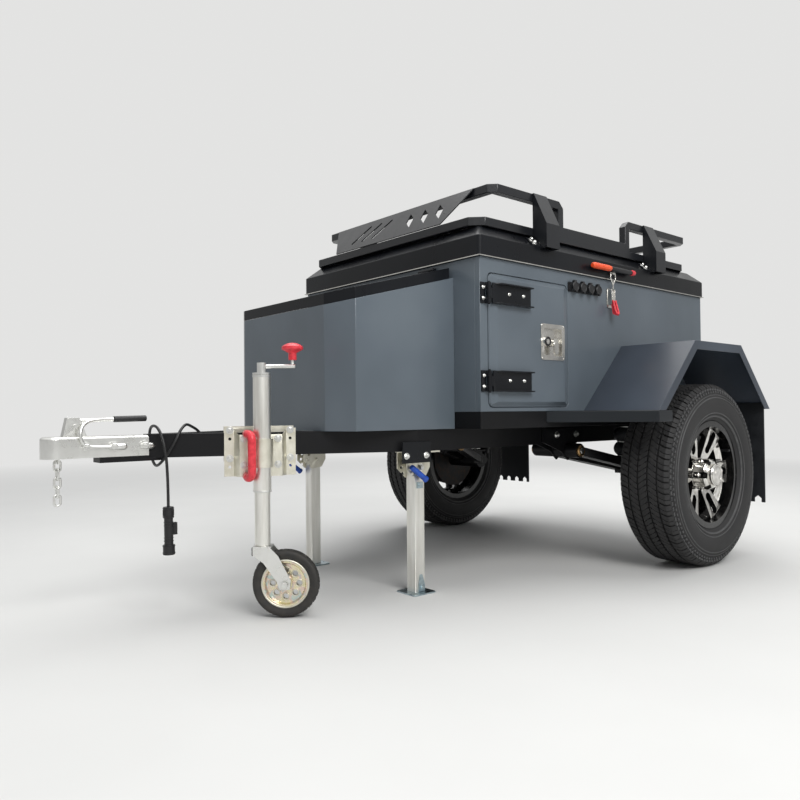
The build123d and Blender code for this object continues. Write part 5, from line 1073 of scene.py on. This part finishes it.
def coupler_bow():
    """The bent release rod from the lever's sleeve down the near side of the coupler."""
    bends = ((2146, -3, 629), (2190, -10, 629), (2228, -22, 622), (2247, -34, 600), (2248, -38, 572),
             (2238, -38, 553), (2214, -37, 546), (2150, -37, 546))
    points = [(AXLE_X - reach, y, z) for reach, y, z in bends]
    rod_piece("coupler_release_rod", "trailer", "zinc", points, 5)


def coupler_pressings():
    """Long pressed bosses on the coupler's side, each with a nut's dome."""
    end = [(0, 0), (5, 1.2), (9, 4.5), (11, 10)]
    bm = bmesh.new()
    for front, length in ((2167, 60), (2072, 50)):
        profile = end + [(radius, length - along) for radius, along in reversed(end)]
        put(bm, lathe(profile, 28, closed=False),
            at(AXLE_X - front, -27, 545) @ Matrix.Rotation(pi / 2, 4, "Y"))
    piece_of("coupler_pressings", bm, "trailer", ["zinc"])


def rack_plate():
    """The leaning plate with its three slots, and the three slanted diamonds cut through it."""
    half_wide = 19
    half_high = 44
    slant = radians(-24)
    bm = merged_copy("rack_plate")
    front = max((face for face in bm.faces if face.normal.z > 0), key=lambda face: face.calc_area())
    normal = front.normal.copy()
    across = Vector((0, 1, 0))
    upward = normal.cross(across) * (-1 if normal.cross(across).z < 0 else 1)
    middle = sum((v.co for v in bm.verts), Vector()) / len(bm.verts)
    middle.y = 0
    for y in DIAMONDS:
        centre = middle + across * y * MM
        wide = across * cos(slant) + upward * sin(slant)
        high = upward * cos(slant) - across * sin(slant)
        for a, b in ((1, 1), (1, -1), (-1, 1), (-1, -1)):
            cut = wide * a * half_high + high * b * half_wide
            tip = centre + wide * a * half_wide * MM
            bmesh.ops.bisect_plane(bm, geom=geometry(bm), plane_co=tip, plane_no=cut)
        inside = []
        for face in bm.faces:
            run = face.calc_center_median() - centre
            share = abs(run.dot(wide)) / half_wide + abs(run.dot(high)) / half_high
            if abs(face.normal.dot(normal)) > 0.9 and share < 0.99 * MM:
                inside.append(face)
        bmesh.ops.delete(bm, geom=inside, context="FACES")
        open_edges = [edge for edge in bm.edges if edge.is_boundary]
        bmesh.ops.bridge_loops(bm, edges=open_edges)
    bmesh.ops.recalc_face_normals(bm, faces=bm.faces)
    cut_plate = piece_of("rack_plate_cut", bm, BODY_OF["rack_plate"], ["rack_paint"], smooth=FOLD_ANGLE)
    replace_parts(cut_plate, "rack_plate")


def frame_welds():
    """A weld bead up the joint on each chassis rail."""
    joint_x = AXLE_X - 543
    low = 509
    high = 578
    rail_face = 395.5
    radius = 2.6
    bm = bmesh.new()
    for side in (-1, 1):
        bead = lathe([(0, 0), (radius, 1), (radius, high - low - 1), (0, high - low)], 10, closed=False)
        put(bm, bead, at(joint_x, side * rail_face, low))
    piece_of("frame_weld_beads", bm, "trailer", ["black_steel"])


def suspension_bushes():
    """Brass-coloured bush ends and through bolts of the trailing arms, and the bellows' rings."""
    pivot_x = AXLE_X - 392
    pivot_z = 476
    outer_end = 464
    inner_end = 234
    for name, side in SIDES:
        bm = bmesh.new()
        for end, outward in ((outer_end, side), (inner_end, -side)):
            seat = facing(pivot_x, side * end, pivot_z, (0, outward, 0))
            put(bm, lathe([(12, 0), (24, 0), (24, 7), (20, 10), (12, 10)], 32), seat, 0)
            put(bm, disc(13, 12, 6, 1.5), seat, 1)
        piece_of("arm_bush_ends_" + name, bm, "trailer", ["brass", "zinc"])
        bm = bmesh.new()
        for z in (441, 504, 570):
            put(bm, lathe(ring_section(44, 0, 3.5, 3.5, 12), 48), at(AXLE_X - 60, side * 480, z))
        piece_of("bellows_rings_" + name, bm, "trailer", ["zinc"])


# The trailer cable
CABLE_DIAMETER = 9
CABLE_ROUTE = (
    (-1853.2, -34.8, 552), (-1843, -13, 552), (-1842, 8, 566), (-1858, 14, 590), (-1886, 2, 603),
    (-1912, -26, 610), (-1934, -52, 607), (-1956, -70, 590), (-1974, -75, 556), (-1994, -62, 516),
    (-2008, -35, 485), (-2004, 10, 476), (-1998, 54, 498), (-2000, 68, 548), (-2008, 48, 594),
    (-2016, 0, 609), (-2018, -48, 601), (-2012, -74, 562), (-2006, -82, 508), (-2002, -81, 452),
    (-2000, -80, 400), (-1999, -79, 354),
)


def trailer_cable():
    """The cable from the gland, in a loop round the drawbar, to the plug that hangs beside it."""
    points = [(x + AXLE_X, y, z) for x, y, z in CABLE_ROUTE]
    cable = rod_piece("trailer_cable", "trailer", "cable_rubber", points, CABLE_DIAMETER / 2, sides=6,
                      steps=12)
    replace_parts(cable, "cable")
    plug = dressed("cable_plug", ["black_plastic"], 0.8)
    ribs = plug_ribs()
    x, y, z = points[0]


def plug_ribs():
    """Grip ribs round the plug's gland nut, barrel and end ring."""
    before, last = (Vector(point) + Vector((AXLE_X, 0, 0)) for point in CABLE_ROUTE[-2:])
    place = facing(*last, last - before)
    bm = bmesh.new()
    # Rings: distance from the plug's start, radius of the part below, width
    rings = ((4, 16, 4), (30, 16, 4), (48, 13.5, 3), (58, 13.5, 3), (96, 13.5, 3), (106, 13.5, 3),
             (121, 18, 3), (143, 18, 4))
    for along, radius, width in rings:
        profile = [(radius - 1, along - width / 2), (radius + 1.4, along - width / 4),
                   (radius + 1.4, along + width / 4), (radius - 1, along + width / 2)]
        put(bm, lathe(profile, 32), place)
    for number in range(16):
        turn = Matrix.Rotation(number * pi / 8, 4, "Z")
        put(bm, plate(15.2, 17.2, -1.4, 1.4, 8, 26), place @ turn)
    return piece_of("plug_grip_ribs", bm, "trailer", ["black_plastic"])


# Floor, backdrop and light
def studio():
    """A plain pale floor that fades into a pale backdrop, a soft room and three lamps."""
    material, tree, place = new_material("pale_floor")
    mottle = add(tree, "TexNoise", {"Vector": place, "Scale": 2.0, "Detail": 3})
    tone = add(tree, "ValToRGB", {"Fac": mottle}, stops=((0.3, "DAD9D6"), (0.7, "DDDCD9")))
    matt = add(tree, "BsdfPrincipled", {"Base Color": tone, "Roughness": 0.85})
    away = add(tree, "VectorMath", {0: place}, operation="LENGTH")
    fade = add(tree, "MapRange", {"Value": away.outputs["Value"], "From Min": 2.6, "From Max": 8.0})
    backdrop = add(tree, "Emission", {"Color": linear("EEEEED"), "Strength": 0.9})
    both = add(tree, "MixShader", {0: fade, 1: matt,
                                   2: backdrop})
    add(tree, "OutputMaterial", {"Surface": both})
    bm = bmesh.new()
    bmesh.ops.create_grid(bm, x_segments=1, y_segments=1, size=30)
    mesh = mesh_of("floor", bm)
    mesh.materials.append(material)
    placed("floor", mesh)
    world = bpy.data.worlds.new("studio")
    bpy.context.scene.world = world
    world.use_nodes = True
    tree = world.node_tree
    tree.nodes.clear()
    path = add(tree, "LightPath")
    seen = add(tree, "Math", {0: path.outputs["Is Camera Ray"], 1: path.outputs["Is Glossy Ray"]},
               operation="MAXIMUM")
    seen = add(tree, "Math", {0: seen, 1: path.outputs["Is Transmission Ray"]},
               operation="MAXIMUM")
    # The room is brighter overhead than at its walls
    way = add(tree, "TexCoord").outputs["Generated"]
    height = add(tree, "SeparateXYZ", {"Vector": way})
    room = add(tree, "MapRange", {"Value": height.outputs["Z"], "From Min": 0.0, "From Max": 0.8,
                                  "To Min": 0.15, "To Max": 0.66})
    gleam = add(tree, "MapRange", {"Value": height.outputs["Z"], "From Min": 0.1, "From Max": 0.75,
                                   "To Min": 0.5, "To Max": 1.15})
    wall = add(tree, "Mix", {0: path.outputs["Is Glossy Ray"], 2: 0.9, 3: gleam},
               data_type="FLOAT")
    soft = add(tree, "Background", {"Color": linear("E6EAEE"), "Strength": room})
    pale = add(tree, "Background", {"Color": linear("EEEEED"), "Strength": wall})
    both = add(tree, "MixShader", {0: seen, 1: soft,
                                   2: pale})
    add(tree, "OutputWorld", {"Surface": both})
    lamps = (  # name, place, aim, size, watts
        ("key", (-1.4, -4.6, 4.2), (0.2, 0, 0.6), 2.8, 205),
        ("top", (0.6, 0.3, 5.0), (0.2, 0, 0.6), 4.0, 150),
        ("rear", (4.2, 2.4, 3.0), (0.4, 0, 0.6), 2.5, 60),
    )
    for name, place, aim, size, watts in lamps:
        data = bpy.data.lights.new(name, "AREA")
        data.shape = "SQUARE"
        data.size = size
        data.energy = watts
        lamp = placed(name, data)
        lamp.location = place
        lamp.rotation_euler = (Vector(aim) - Vector(place)).to_track_quat("-Z", "Y").to_euler()
    bpy.context.scene.view_settings.view_transform = "Standard"


camera()
trailer_cable()
for node, finish, edge_mm in COATED:
    dressed(node, [finish], edge_mm, smooth=FOLD_ANGLE if node in FOLDED else 35)
rack_plate()
mixed_finish_nodes()
wheels()
jockey_wheel()
jockey_fixings()
body_fixings()
door_details()
socket_caps()
lid_grip()
lid_edge_highlight_strip()
latch_prongs()
leg_pins()
leg_details()
coupler_bow()
coupler_pressings()
frame_welds()
suspension_bushes()
studio()
